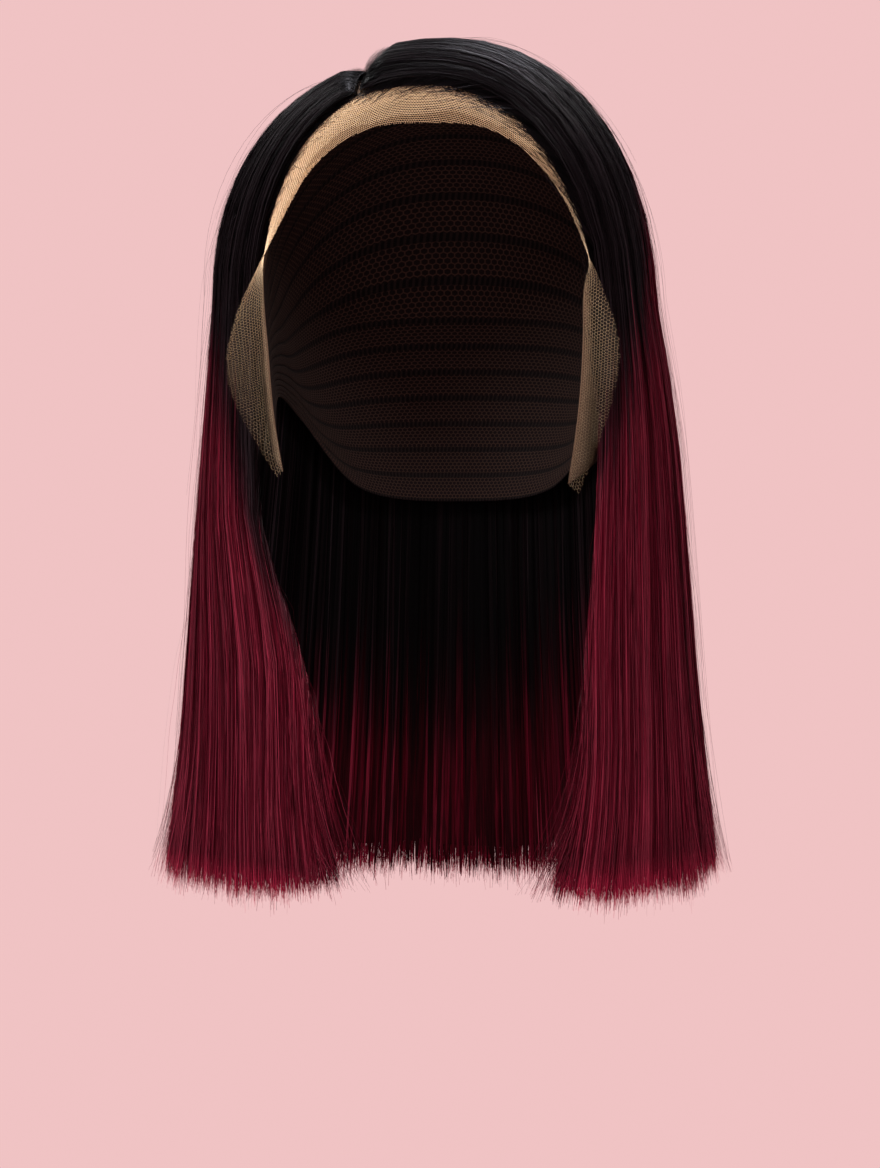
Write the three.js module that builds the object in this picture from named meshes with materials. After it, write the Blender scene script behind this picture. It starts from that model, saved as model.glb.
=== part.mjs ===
// Lace-front bob wig, held up as a head holds it. Millimetres, +Z up, the face opening looks along -Y.
// The origin is the inside of the crown, where the cap sits on the head.
import * as THREE from 'three';

// Cap, as worn: 545 mm round, which is a 21.5 inch cap.
const CAP_HALF_WIDTH = 77;
const CAP_HALF_LENGTH = 96;
const CROWN_HEIGHT = 100; // from the widest level of the head up to the crown
const CAP_DEPTH = 186; // from the crown down to the nape edge
const CAP_WALL = 1.5;
const LACE_WALL = 1;
const CLEARANCE = 0.35; // between neighbouring pieces
const KNOT_HEIGHT = 1.1; // the knots and wefts that lift the hair off the cap
const HEAD_SQUARENESS = 2.2; // power of the head's rounded sections, 2 is an ellipse
const NAPE_NARROWING = 0.13; // share of the head's width and length lost at the nape

// Hair
const HAIR_DROP = 357; // from the crown down to the blunt cut
const HAIR_SPREAD = 42; // how far the tips stand out past the cap at the sides
const CURTAIN_BODY = 17; // thickness of the hair where it hangs
const EDGE_BODY = 2.6; // thickness of the hair along the hairline
const PART_BODY_LEFT = 4; // thickness of the hair beside the part
const PART_BODY_RIGHT = 7.6;
const PART_WIDTH = 1.6;
const WHORL_RADIUS = 3; // where the part ends at the crown
const LOCK_RELIEF = 2; // height of the locks over the backing
const RAGGED_CUT = 4; // how unevenly the locks end
const SIDE_RISE = 5; // how much shorter the hair is at the sides than at the front and back

// Lace margin in front of the hairline
const LACE_FLARE = 18; // how far the side flaps stand off the head
const SEAM_GAP = 0.7; // between the lace and the cap behind it, along the head

const COLUMNS_PER_LOCK = 3;
const LOCK_PROFILE = [0, 1, 0.5];
const LOCK_ENDS = [0.1, 0.7, 0.3, 1, 0.5, 0, 0.8, 0.4]; // shares of RAGGED_CUT, lock by lock
const CROWN_ROWS = 9;
const HANGING_ROWS = 7;

// The part line on the head: shares of the cap's half width and half length, and of the crown's height.
const PART_FRONT = { x: -0.4, y: -0.594, z: -0.14 };
const PART_END = { x: -0.31, y: 0.23, z: -0.03 };

// Level sections of the hanging hair. drop is a share of HAIR_DROP. left, right and back are how far the
// hair stands out past the cap, as shares of HAIR_SPREAD. edge_left and edge_right are where the face-side
// edges lie, as shares of CAP_HALF_WIDTH. front_left, front_right and widest are shares of CAP_HALF_LENGTH.
const SECTIONS = [
  { drop: 0.28, left: 0.51, right: 0.35, back: 0.38, edge_left: 0.974, edge_right: 0.948,
    front_left: 0.458, front_right: 0.52, widest: 0.125 },
  { drop: 0.42, left: 0.6, right: 0.55, back: 0.38, edge_left: 0.974, edge_right: 0.955,
    front_left: 0.458, front_right: 0.51, widest: 0.1 },
  { drop: 0.55, left: 0.68, right: 0.66, back: 0.36, edge_left: 0.94, edge_right: 0.93,
    front_left: 0.47, front_right: 0.52, widest: 0.06 },
  { drop: 0.725, left: 0.78, right: 0.77, back: 0.32, edge_left: 0.69, edge_right: 0.86,
    front_left: 0.52, front_right: 0.53, widest: 0.02 },
  { drop: 0.86, left: 0.86, right: 0.87, back: 0.27, edge_left: 0.58, edge_right: 0.8,
    front_left: 0.55, front_right: 0.55, widest: 0 },
  { drop: 1, left: 0.98, right: 0.98, back: 0.22, edge_left: 0.49, edge_right: 0.69,
    front_left: 0.57, front_right: 0.57, widest: -0.02 },
];

// How the locks bend over the crown, round the head from the left edge of the face (0) by the back (0.5)
// to its right edge (1). x, y and z are the bend's middle, from the centre of the widest level:
// x and y are shares of the cap's half width and half length, z of the crown's height, and lift puffs the
// hair up on the way, as a share of its thickness.
const BENDS = [
  { round: 0, x: -0.79, y: -0.54, z: 0.68, lift: 0 },
  { round: 0.12, x: -0.99, y: -0.4, z: 0.7, lift: 0.2 },
  { round: 0.25, x: -1.04, y: 0.03, z: 0.68, lift: 0.3 },
  { round: 0.36, x: -0.86, y: 0.68, z: 0.66, lift: 0.2 },
  { round: 0.5, x: -0.19, y: 0.94, z: 0.66, lift: 0.1 },
  { round: 0.64, x: 0.52, y: 0.68, z: 0.78, lift: 0.1 },
  { round: 0.75, x: 0.75, y: 0.03, z: 0.88, lift: 0 },
  { round: 0.88, x: 0.71, y: -0.4, z: 0.92, lift: 0 },
  { round: 1, x: 0.53, y: -0.64, z: 1.08, lift: 0 },
];

// The lace from the lower tip of its left flap, over the forehead, to the lower tip of its right flap.
// seam_ is the edge sewn to the cap, line_ the hairline and free_ the cut edge, each as shares of the cap's
// half width, its half length and the crown's height. flare is a share of LACE_FLARE.
const LACE = [
  { seam_x: -0.9, seam_y: -0.22, seam_z: -1.68, line_x: -0.83, line_y: -0.46, line_z: -1.76,
    free_x: -0.87, free_y: -0.52, free_z: -1.79, flare: 0.25 },
  { seam_x: -0.94, seam_y: -0.22, seam_z: -1.5, line_x: -0.86, line_y: -0.49, line_z: -1.5,
    free_x: -1.04, free_y: -0.55, free_z: -1.47, flare: 0.95 },
  { seam_x: -0.97, seam_y: -0.19, seam_z: -1.26, line_x: -0.88, line_y: -0.52, line_z: -1.26,
    free_x: -1.1, free_y: -0.56, free_z: -1.29, flare: 1 },
  { seam_x: -0.98, seam_y: -0.1, seam_z: -1.04, line_x: -0.92, line_y: -0.49, line_z: -1.04,
    free_x: -1.03, free_y: -0.56, free_z: -1.08, flare: 0.66 },
  { seam_x: -0.99, seam_y: 0, seam_z: -0.88, line_x: -0.94, line_y: -0.46, line_z: -0.88,
    free_x: -0.9, free_y: -0.6, free_z: -0.9, flare: 0.28 },
  { seam_x: -0.97, seam_y: 0.08, seam_z: -0.7, line_x: -0.9, line_y: -0.45, line_z: -0.7,
    free_x: -0.73, free_y: -0.64, free_z: -0.72, flare: 0.05 },
  { seam_x: -0.8, seam_y: 0.21, seam_z: -0.4, line_x: -0.75, line_y: -0.5, line_z: -0.44,
    free_x: -0.56, free_y: -0.73, free_z: -0.48, flare: 0 },
  { seam_x: -0.4, seam_y: 0.35, seam_z: -0.14, line_x: -0.4, line_y: -0.59, line_z: -0.14,
    free_x: -0.28, free_y: -0.79, free_z: -0.35, flare: 0 },
  { seam_x: 0.05, seam_y: 0.4, seam_z: -0.06, line_x: 0.06, line_y: -0.59, line_z: -0.14,
    free_x: 0.06, free_y: -0.8, free_z: -0.34, flare: 0 },
  { seam_x: 0.4, seam_y: 0.37, seam_z: -0.12, line_x: 0.4, line_y: -0.58, line_z: -0.21,
    free_x: 0.36, free_y: -0.78, free_z: -0.34, flare: 0 },
  { seam_x: 0.74, seam_y: 0.25, seam_z: -0.34, line_x: 0.69, line_y: -0.54, line_z: -0.38,
    free_x: 0.59, free_y: -0.73, free_z: -0.45, flare: 0 },
  { seam_x: 0.91, seam_y: 0.12, seam_z: -0.62, line_x: 0.86, line_y: -0.48, line_z: -0.62,
    free_x: 0.75, free_y: -0.65, free_z: -0.64, flare: 0.03 },
  { seam_x: 0.98, seam_y: 0.02, seam_z: -0.86, line_x: 0.9, line_y: -0.52, line_z: -0.84,
    free_x: 0.86, free_y: -0.6, free_z: -0.85, flare: 0.15 },
  { seam_x: 0.98, seam_y: -0.1, seam_z: -1.04, line_x: 0.86, line_y: -0.58, line_z: -1.02,
    free_x: 0.96, free_y: -0.61, free_z: -1.01, flare: 0.5 },
  { seam_x: 0.97, seam_y: -0.19, seam_z: -1.24, line_x: 0.85, line_y: -0.57, line_z: -1.22,
    free_x: 1.05, free_y: -0.58, free_z: -1.25, flare: 0.86 },
  { seam_x: 0.94, seam_y: -0.23, seam_z: -1.48, line_x: 0.84, line_y: -0.55, line_z: -1.48,
    free_x: 1.01, free_y: -0.575, free_z: -1.48, flare: 0.8 },
  { seam_x: 0.89, seam_y: -0.23, seam_z: -1.72, line_x: 0.8, line_y: -0.52, line_z: -1.82,
    free_x: 0.9, free_y: -0.54, free_z: -1.86, flare: 0.3 },
];
const LACE_HAIRLINE_ROW = 0.6; // share of the lace's rows that lie behind the hairline
const LACE_COLUMNS = 48;
const LACE_ROWS = 10;

// The cap's lower edge from the left ear by the nape to the right ear. along is a share of the lace seam.
// x and y are shares of the cap's half width and half length, and z is a share of CAP_DEPTH.
const CAP_EDGE = [
  { along: 0, x: -0.93, y: 0.04, z: -0.86 },
  { along: 0.12, x: -0.95, y: 0.22, z: -0.76 },
  { along: 0.25, x: -0.86, y: 0.5, z: -0.82 },
  { along: 0.37, x: -0.56, y: 0.72, z: -0.97 },
  { along: 0.5, x: 0, y: 0.84, z: -1 },
  { along: 0.63, x: 0.56, y: 0.72, z: -0.97 },
  { along: 0.75, x: 0.86, y: 0.5, z: -0.82 },
  { along: 0.88, x: 0.95, y: 0.22, z: -0.76 },
  { along: 1, x: 0.93, y: 0.04, z: -0.86 },
];
const CAP_COLUMNS = 28;
const CAP_ROWS = 15;

// The three sections of hair, each from one place round the head to another.
const HAIR_SECTIONS = [
  { name: 'hair_left', from: 0, to: 0.36, locks: 9 },
  { name: 'hair_back', from: 0.36, to: 0.64, locks: 9 },
  { name: 'hair_right', from: 0.64, to: 1, locks: 10 },
];

const COLOURS = { lace: 0xd8b48e, cap: 0x1d1411, hair: 0x5a1420 };

const clamp = (value, low, high) => Math.min(high, Math.max(low, value));
const mix = (a, b, share) => a + (b - a) * share;
const ease = (share) => share * share * (3 - 2 * share);
const rad = THREE.MathUtils.degToRad;

// Reads a table's column at any value of its key, on a smooth curve through the rows.
function read(table, key, at, column) {
  const last = table.length - 1;
  let row = 0;
  while (row < last - 1 && table[row + 1][key] < at) row += 1;
  const value = (i) => table[clamp(i, 0, last)][column];
  const place = (i) => table[i][key];
  const share = clamp((at - place(row)) / (place(row + 1) - place(row)), 0, 1);
  const slope = (i) => {
    const low = clamp(i - 1, 0, last);
    const high = clamp(i + 1, 0, last);
    return (value(high) - value(low)) / (place(high) - place(low));
  };
  const span = place(row + 1) - place(row);
  const s2 = share * share;
  const s3 = s2 * share;
  return (2 * s3 - 3 * s2 + 1) * value(row) + (s3 - 2 * s2 + share) * span * slope(row)
    + (3 * s2 - 2 * s3) * value(row + 1) + (s3 - s2) * span * slope(row + 1);
}

const LACE_ROWS_BY_PLACE = LACE.map((row, i) => ({ ...row, along: i / (LACE.length - 1) }));

// The head that the wig is made for
const CENTRE = new THREE.Vector3(0, 0, -CROWN_HEIGHT);

function headRadius(direction) {
  const sum = Math.abs(direction.x / CAP_HALF_WIDTH) ** HEAD_SQUARENESS
    + Math.abs(direction.y / CAP_HALF_LENGTH) ** HEAD_SQUARENESS
    + Math.abs(direction.z / CROWN_HEIGHT) ** HEAD_SQUARENESS;
  return sum ** (-1 / HEAD_SQUARENESS);
}

// Puts a point on the head, or lift millimetres off it: from the centre above the widest level, level below it.
function onHead(point, lift) {
  const below = point.z < -CROWN_HEIGHT;
  const from = below ? new THREE.Vector3(0, 0, point.z) : CENTRE;
  const direction = point.clone().sub(from).normalize();
  const down = below ? (-CROWN_HEIGHT - point.z) / (CAP_DEPTH - CROWN_HEIGHT) : 0;
  const radius = headRadius(direction) * (1 - NAPE_NARROWING * down * down);
  return from.clone().addScaledVector(direction, radius + lift);
}

const atShares = (x, y, z) => new THREE.Vector3(x * CAP_HALF_WIDTH, y * CAP_HALF_LENGTH, z * CROWN_HEIGHT);

// The volume inside a mesh, negative when its faces point inwards
function holds(positions, faces) {
  const corner = (i) => new THREE.Vector3().fromArray(positions, 3 * faces[i]);
  let volume = 0;
  for (let i = 0; i < faces.length; i += 3) {
    volume += corner(i).dot(corner(i + 1).cross(corner(i + 2))) / 6;
  }
  return volume;
}

// A closed wall between two grids of points
function wall(columns, rows, outerAt, innerAt) {
  const positions = [];
  const faces = [];
  const side = (columns + 1) * (rows + 1);
  for (const pointAt of [outerAt, innerAt]) {
    for (let i = 0; i <= columns; i += 1) {
      for (let j = 0; j <= rows; j += 1) positions.push(...pointAt(i, j).toArray());
    }
  }
  const index = (i, j, layer) => layer * side + i * (rows + 1) + j;
  const quad = (a, b, c, d) => faces.push(a, b, c, a, c, d);
  for (let i = 0; i < columns; i += 1) {
    for (let j = 0; j < rows; j += 1) {
      quad(index(i, j, 0), index(i, j + 1, 0), index(i + 1, j + 1, 0), index(i + 1, j, 0));
      quad(index(i, j, 1), index(i + 1, j, 1), index(i + 1, j + 1, 1), index(i, j + 1, 1));
    }
    quad(index(i, 0, 0), index(i + 1, 0, 0), index(i + 1, 0, 1), index(i, 0, 1));
    quad(index(i, rows, 0), index(i, rows, 1), index(i + 1, rows, 1), index(i + 1, rows, 0));
  }
  for (let j = 0; j < rows; j += 1) {
    quad(index(0, j, 0), index(0, j, 1), index(0, j + 1, 1), index(0, j + 1, 0));
    quad(index(columns, j, 0), index(columns, j + 1, 0), index(columns, j + 1, 1), index(columns, j, 1));
  }
  const geometry = new THREE.BufferGeometry();
  geometry.setAttribute('position', new THREE.Float32BufferAttribute(positions, 3));
  geometry.setIndex(holds(positions, faces) < 0 ? faces.toReversed() : faces);
  geometry.computeVertexNormals();
  return geometry;
}

function piece(name, geometry, colour, roughness) {
  const material = new THREE.MeshStandardMaterial({ color: colour, roughness, metalness: 0 });
  const mesh = new THREE.Mesh(geometry, material);
  mesh.name = name;
  return mesh;
}

// Lace front: along runs from the left flap to the right one, across from the cap seam to the free edge.
function lacePoint(along, across) {
  const column = (name) => read(LACE_ROWS_BY_PLACE, 'along', along, name);
  const seam = atShares(column('seam_x'), column('seam_y'), column('seam_z'));
  const line = atShares(column('line_x'), column('line_y'), column('line_z'));
  const free = atShares(column('free_x'), column('free_y'), column('free_z'));
  if (across < LACE_HAIRLINE_ROW) {
    return { point: seam.lerp(line, across / LACE_HAIRLINE_ROW), lift: 0 };
  }
  const out = (across - LACE_HAIRLINE_ROW) / (1 - LACE_HAIRLINE_ROW);
  const flare = Math.max(0, column('flare')) * LACE_FLARE * out ** 1.4;
  return { point: line.lerp(free, out), lift: flare };
}

function laceFront() {
  const at = (wallSide) => (i, j) => {
    const { point, lift } = lacePoint(i / LACE_COLUMNS, j / LACE_ROWS);
    return onHead(point, lift + wallSide);
  };
  return piece('lace_front', wall(LACE_COLUMNS, LACE_ROWS, at(LACE_WALL), at(0)), COLOURS.lace, 0.7);
}

// Cap: from the lace seam, over the back of the head, to its lower edge.
function cap() {
  const at = (wallSide) => (i, j) => {
    const along = i / CAP_COLUMNS;
    const seam = onHead(lacePoint(along, 0).point, 0);
    const inner = onHead(lacePoint(along, 0.02).point, 0);
    seam.addScaledVector(seam.clone().sub(inner).normalize(), SEAM_GAP);
    const column = (name) => read(CAP_EDGE, 'along', along, name);
    const edge = new THREE.Vector3(
      column('x') * CAP_HALF_WIDTH, column('y') * CAP_HALF_LENGTH, column('z') * CAP_DEPTH);
    return onHead(seam.lerp(edge, j / CAP_ROWS), wallSide);
  };
  return piece('cap', wall(CAP_COLUMNS, CAP_ROWS, at(CAP_WALL), at(0)), COLOURS.cap, 0.9);
}

// Outer line of a level section of the hair, in millimetres, at a place round the head.
function sectionPoint(round, drop) {
  const column = (name) => read(SECTIONS, 'drop', drop, name);
  const left = round < 0.5;
  const side = left ? -1 : 1;
  const turn = left ? round : 1 - round; // 0 at the face edge, 0.25 at the side, 0.5 at the back
  const width = CAP_HALF_WIDTH + HAIR_SPREAD * column(left ? 'left' : 'right');
  const widest = CAP_HALF_LENGTH * column('widest');
  if (turn < 0.25) {
    const angle = rad(turn * 360);
    const edge = CAP_HALF_WIDTH * column(left ? 'edge_left' : 'edge_right');
    const front = CAP_HALF_LENGTH * column(left ? 'front_left' : 'front_right');
    return new THREE.Vector2(side * (edge + (width - edge) * Math.sin(angle)),
      widest - (front + widest) * Math.cos(angle));
  }
  const angle = rad((turn - 0.25) * 360);
  const back = CAP_HALF_LENGTH + HAIR_SPREAD * column('back');
  return new THREE.Vector2(side * width * Math.cos(angle) ** (2 / HEAD_SQUARENESS),
    widest + (back - widest) * Math.sin(angle) ** (2 / HEAD_SQUARENESS));
}

// Where a lock starts: along the left side of the part, round its end at the crown, and back along the right.
function rootPoint(round, from, to) {
  const front = atShares(PART_FRONT.x, PART_FRONT.y, PART_FRONT.z);
  const end = atShares(PART_END.x, PART_END.y, PART_END.z);
  if (round > from && round < to) {
    const angle = Math.PI * (round - from) / (to - from);
    return end.add(new THREE.Vector3(-Math.cos(angle), Math.sin(angle), 0).multiplyScalar(WHORL_RADIUS));
  }
  const left = round <= from;
  const share = left ? round / from : (1 - round) / (1 - to);
  const apart = mix(PART_WIDTH / 2, WHORL_RADIUS, ease(share));
  return front.lerp(end, share).add(new THREE.Vector3(left ? -apart : apart, 0, 0));
}

// Thickness of the hair beside the part: thin along the hairline, full a little behind it.
function partBody(round) {
  const [, back] = HAIR_SECTIONS;
  const across = ease(clamp((round - back.from) / (back.to - back.from), 0, 1));
  const full = mix(PART_BODY_LEFT, PART_BODY_RIGHT, across);
  const fromFace = Math.min(round, 1 - round);
  return mix(EDGE_BODY, full, ease(clamp(fromFace / 0.07, 0, 1)));
}

// A lock's outer and inner points: down runs from the root (0) by the widest level (1) to the tip (2).
function hairPoint(round, down, relief, short) {
  const [, back] = HAIR_SECTIONS;
  const rest = CAP_WALL + KNOT_HEIGHT;
  const ringDrop = CROWN_HEIGHT / HAIR_DROP;
  const ringAt = sectionPoint(round, ringDrop);
  const ring = new THREE.Vector3(ringAt.x, ringAt.y, -CROWN_HEIGHT);
  const outward = ring.clone().sub(CENTRE).normalize();
  const ringBody = ringAt.length() - headRadius(outward) - rest;
  if (down <= 1) {
    const root = rootPoint(round, back.from, back.to).sub(CENTRE);
    const bend = new THREE.Vector3(read(BENDS, 'round', round, 'x') * CAP_HALF_WIDTH,
      read(BENDS, 'round', round, 'y') * CAP_HALF_LENGTH, read(BENDS, 'round', round, 'z') * CROWN_HEIGHT);
    const direction = root.multiplyScalar((1 - down) ** 2).addScaledVector(bend, 2 * down * (1 - down))
      .addScaledVector(ring.clone().sub(CENTRE), down ** 2).normalize();
    const lift = read(BENDS, 'round', round, 'lift') * Math.sin(Math.PI * down);
    const body = mix(partBody(round), ringBody, down ** 1.15) * (1 + lift);
    const inner = CENTRE.clone().addScaledVector(direction, headRadius(direction) + rest);
    const raised = relief * ease(clamp(down * 2, 0, 1)) * 0.7;
    return { inner, outer: inner.clone().addScaledVector(direction, body + raised) };
  }
  const hang = down - 1;
  const drop = mix(ringDrop, 1, hang);
  const at = sectionPoint(round, drop);
  const fromFace = Math.min(round, 1 - round);
  const rise = short + SIDE_RISE * Math.sin(rad(360 * fromFace));
  const z = -HAIR_DROP * drop + rise * hang ** 4;
  const outer = new THREE.Vector3(at.x, at.y, z);
  const step = 0.004;
  const before = sectionPoint(clamp(round - step, 0, 1), drop);
  const after = sectionPoint(clamp(round + step, 0, 1), drop);
  const normal = new THREE.Vector3(-(after.y - before.y), after.x - before.x, 0).normalize();
  if (normal.dot(outward) < 0) normal.negate();
  normal.lerp(outward, 1 - ease(clamp(hang * 2, 0, 1))).normalize();
  const full = CURTAIN_BODY * mix(0.22, 1, ease(clamp(fromFace / 0.14, 0, 1)));
  const body = mix(ringBody, full, ease(clamp(hang * 1.6, 0, 1)));
  const inner = outer.clone().addScaledVector(normal, -body);
  const raised = relief * mix(0.7, 1, hang);
  return { inner, outer: outer.addScaledVector(normal, raised) };
}

// One section of hair: locks in relief fused to a backing, with blunt, slightly uneven ends.
function hair({ name, from, to, locks }) {
  const columns = locks * COLUMNS_PER_LOCK;
  const rows = CROWN_ROWS + HANGING_ROWS;
  const at = (side) => (i, j) => {
    const down = j <= CROWN_ROWS ? j / CROWN_ROWS : 1 + (j - CROWN_ROWS) / HANGING_ROWS;
    const relief = i === columns ? 0 : LOCK_RELIEF * LOCK_PROFILE[i % COLUMNS_PER_LOCK];
    const lock = Math.floor(Math.min(i, columns - 1) / COLUMNS_PER_LOCK);
    const short = RAGGED_CUT * LOCK_ENDS[lock % LOCK_ENDS.length];
    const round = mix(from, to, i / columns);
    const point = hairPoint(round, down, relief, short)[side];
    const facing = i === 0 ? 1 : -1;
    const meets = (i === 0 && from > 0) || (i === columns && to < 1);
    if (!meets) return point;
    const next = hairPoint(round + facing * 0.002, down, 0, 0)[side];
    const inward = next.sub(hairPoint(round, down, 0, 0)[side]).normalize();
    return point.addScaledVector(inward, CLEARANCE * 0.65);
  };
  return piece(name, wall(columns, rows, at('outer'), at('inner')), COLOURS.hair, 0.45);
}

const wig = new THREE.Group();
wig.add(laceFront(), cap(), ...HAIR_SECTIONS.map(hair));

export default wig;
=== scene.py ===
# Lace-front bob wig with a side part: black at the roots, burgundy lower down, held up in its worn form.
import math

import bpy
import numpy as np
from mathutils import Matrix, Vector


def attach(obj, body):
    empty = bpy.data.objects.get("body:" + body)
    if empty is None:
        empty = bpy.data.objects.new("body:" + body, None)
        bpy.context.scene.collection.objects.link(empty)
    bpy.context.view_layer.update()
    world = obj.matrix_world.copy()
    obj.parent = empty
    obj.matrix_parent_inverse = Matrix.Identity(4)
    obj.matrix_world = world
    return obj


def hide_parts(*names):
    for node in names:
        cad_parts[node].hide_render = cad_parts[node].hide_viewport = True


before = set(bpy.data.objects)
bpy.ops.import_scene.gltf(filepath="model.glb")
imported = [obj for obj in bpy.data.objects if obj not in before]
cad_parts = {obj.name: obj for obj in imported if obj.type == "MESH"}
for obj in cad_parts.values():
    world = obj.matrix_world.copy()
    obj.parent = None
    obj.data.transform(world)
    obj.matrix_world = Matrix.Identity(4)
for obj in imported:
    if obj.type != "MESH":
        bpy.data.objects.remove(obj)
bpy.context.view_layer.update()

MM = 0.001
rng = np.random.default_rng(14)

# Cap and the form inside it, in metres
CAP_HALF_WIDTH = 0.077
CAP_HALF_LENGTH = 0.096
CROWN_HEIGHT = 0.1
CAP_DEPTH = 0.186
CAP_WALL = 1.5 * MM
KNOT_HEIGHT = 1.1 * MM
HEAD_SQUARENESS = 2.2
NAPE_NARROWING = 0.13

# Hair, in metres
HAIR_DROP = 0.357
HAIR_SPREAD = 0.042
CURTAIN_BODY = 17 * MM
EDGE_BODY = 2.6 * MM
PART_BODY_LEFT = 4 * MM
PART_BODY_RIGHT = 7.6 * MM
PART_WIDTH = 1.7 * MM
WHORL_RADIUS = 1.6 * MM
LOCK_RELIEF = 1.7 * MM
RAGGED_CUT = 3.4 * MM
SIDE_RISE = 5 * MM
LEFT_CORNER = 9.0 * MM
RIGHT_CORNER = 3.0 * MM
SIDE_CORNER = 5.5 * MM
LACE_FLARE = 0.018
FRONT_LEFT = 0.0005
FRONT_RIGHT = 0.9995

# Strands: how many of each kind, and the points along each
BROAD_STRANDS = 4700
FINE_STRANDS = 5200
INNER_STRANDS = 1700
CUT_TIPS = 11000
LONG_STEPS = 22
INNER_STEPS = 15
TIP_STEPS = 5
FLYAWAY_STEPS = 20
CURVED_STEPS = 10
SHORT_STEPS = 7
CLUMP = 0.0075
TONES = 64  # columns of tone in the strands' map, from dark to bright
ROOT_RISE = 0.07  # share of the way down within which strands rise off the lace
# The inner side's lower black is partly the hair's own dye and partly painted shade for the inside of the
# hair.
INNER_DYE_AND_PAINTED_SHADE = 0.16  # how much lower the black reaches on the inner side

# Lace and cap, in metres
NET_PITCH = 1.28 * MM
THREAD_WIDTH = 0.075 * MM
THREAD_HEIGHT = 0.27 * MM
FLAP_WIDTH = 0.06 * MM
FLAP_HEIGHT = 0.08 * MM
TIP_FINER = 0.5  # how much thinner the threads get towards the flaps' lower ends
FOLD_WIDTH = 5 * MM
UNDER_HAIR = 4 * MM
LACE_LIFT = 0.5 * MM
FOLD_LIFT = 0.85 * MM
CAP_PITCH = 1.9 * MM
WEFT_ROWS = 15

# Stage and camera, in metres
BACKDROP_RADIUS = 3.5
BACKDROP = (0.87, 0.545, 0.55)
CAMERA_DISTANCE = 1.5
CAMERA_TURN = math.radians(6)
FRAME_HEIGHT = 0.507
FRAME_MIDDLE = -0.224

PART_FRONT = {"x": -0.4, "y": -0.594, "z": -0.14}
PART_END = {"x": -0.31, "y": 0.23, "z": -0.03}
LOCK_ENDS = [0.1, 0.7, 0.3, 1, 0.5, 0, 0.8, 0.4]
LEFT_ENDS = 0.36
RIGHT_STARTS = 0.64


def table(columns, *rows):
    """A table's columns by name, from its rows."""
    return {name: np.array([row[i] for row in rows], float) for i, name in enumerate(columns.split())}


# Level sections of the hanging hair, as the solids have them
SECTIONS = table(
    "drop left right back edge_left edge_right front_left front_right widest",
    (0.28, 0.51, 0.35, 0.38, 0.974, 0.948, 0.458, 0.52, 0.125),
    (0.42, 0.6, 0.55, 0.38, 0.974, 0.955, 0.458, 0.51, 0.1),
    (0.55, 0.68, 0.66, 0.36, 0.94, 0.93, 0.47, 0.52, 0.06),
    (0.725, 0.78, 0.77, 0.32, 0.69, 0.86, 0.52, 0.53, 0.02),
    (0.86, 0.86, 0.87, 0.27, 0.58, 0.8, 0.55, 0.55, 0),
    (1, 0.98, 0.98, 0.22, 0.49, 0.69, 0.57, 0.57, -0.02),
)

# How the hair bends over the crown, from the left front edge by the back to the right one
BENDS = table(
    "turn x y z lift",
    (0, -0.79, -0.54, 0.68, 0),
    (0.12, -0.99, -0.4, 0.7, 0.2),
    (0.25, -1.04, 0.03, 0.68, 0.3),
    (0.36, -0.86, 0.68, 0.66, 0.2),
    (0.5, -0.19, 0.94, 0.66, 0.1),
    (0.64, 0.52, 0.68, 0.78, 0.1),
    (0.75, 0.75, 0.03, 0.88, 0),
    (0.88, 0.71, -0.4, 0.92, 0),
    (1, 0.53, -0.64, 1.08, 0),
)

# The lace from the tip of its left flap to the tip of its right one: seam, hairline and free edge
LACE = table(
    "along sx sy sz hx hy hz fx fy fz flare",
    (0 / 16, -0.9, -0.22, -1.68, -0.83, -0.46, -1.76, -0.87, -0.52, -1.79, 0.25),
    (1 / 16, -0.94, -0.22, -1.5, -0.86, -0.49, -1.5, -1.04, -0.55, -1.47, 0.95),
    (2 / 16, -0.97, -0.19, -1.26, -0.88, -0.52, -1.26, -1.1, -0.56, -1.29, 1),
    (3 / 16, -0.98, -0.1, -1.04, -0.92, -0.49, -1.04, -1.03, -0.56, -1.08, 0.66),
    (4 / 16, -0.99, 0, -0.88, -0.94, -0.46, -0.88, -0.9, -0.6, -0.9, 0.28),
    (5 / 16, -0.97, 0.08, -0.7, -0.9, -0.45, -0.7, -0.73, -0.64, -0.72, 0.05),
    (6 / 16, -0.8, 0.21, -0.4, -0.75, -0.5, -0.44, -0.56, -0.73, -0.48, 0),
    (7 / 16, -0.4, 0.35, -0.14, -0.4, -0.59, -0.14, -0.28, -0.79, -0.35, 0),
    (8 / 16, 0.05, 0.4, -0.06, 0.06, -0.59, -0.14, 0.06, -0.8, -0.34, 0),
    (9 / 16, 0.4, 0.37, -0.12, 0.4, -0.58, -0.21, 0.36, -0.78, -0.34, 0),
    (10 / 16, 0.74, 0.25, -0.34, 0.69, -0.54, -0.38, 0.59, -0.73, -0.45, 0),
    (11 / 16, 0.91, 0.12, -0.62, 0.86, -0.48, -0.62, 0.75, -0.65, -0.64, 0.03),
    (12 / 16, 0.98, 0.02, -0.86, 0.9, -0.52, -0.84, 0.86, -0.6, -0.85, 0.15),
    (13 / 16, 0.98, -0.1, -1.04, 0.86, -0.58, -1.02, 0.96, -0.61, -1.01, 0.5),
    (14 / 16, 0.97, -0.19, -1.24, 0.85, -0.57, -1.22, 1.05, -0.58, -1.25, 0.86),
    (15 / 16, 0.94, -0.23, -1.48, 0.84, -0.55, -1.48, 1.01, -0.575, -1.48, 0.8),
    (16 / 16, 0.89, -0.23, -1.72, 0.8, -0.52, -1.82, 0.9, -0.54, -1.86, 0.3),
)
HAIRLINE_ROW = 0.6

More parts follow.
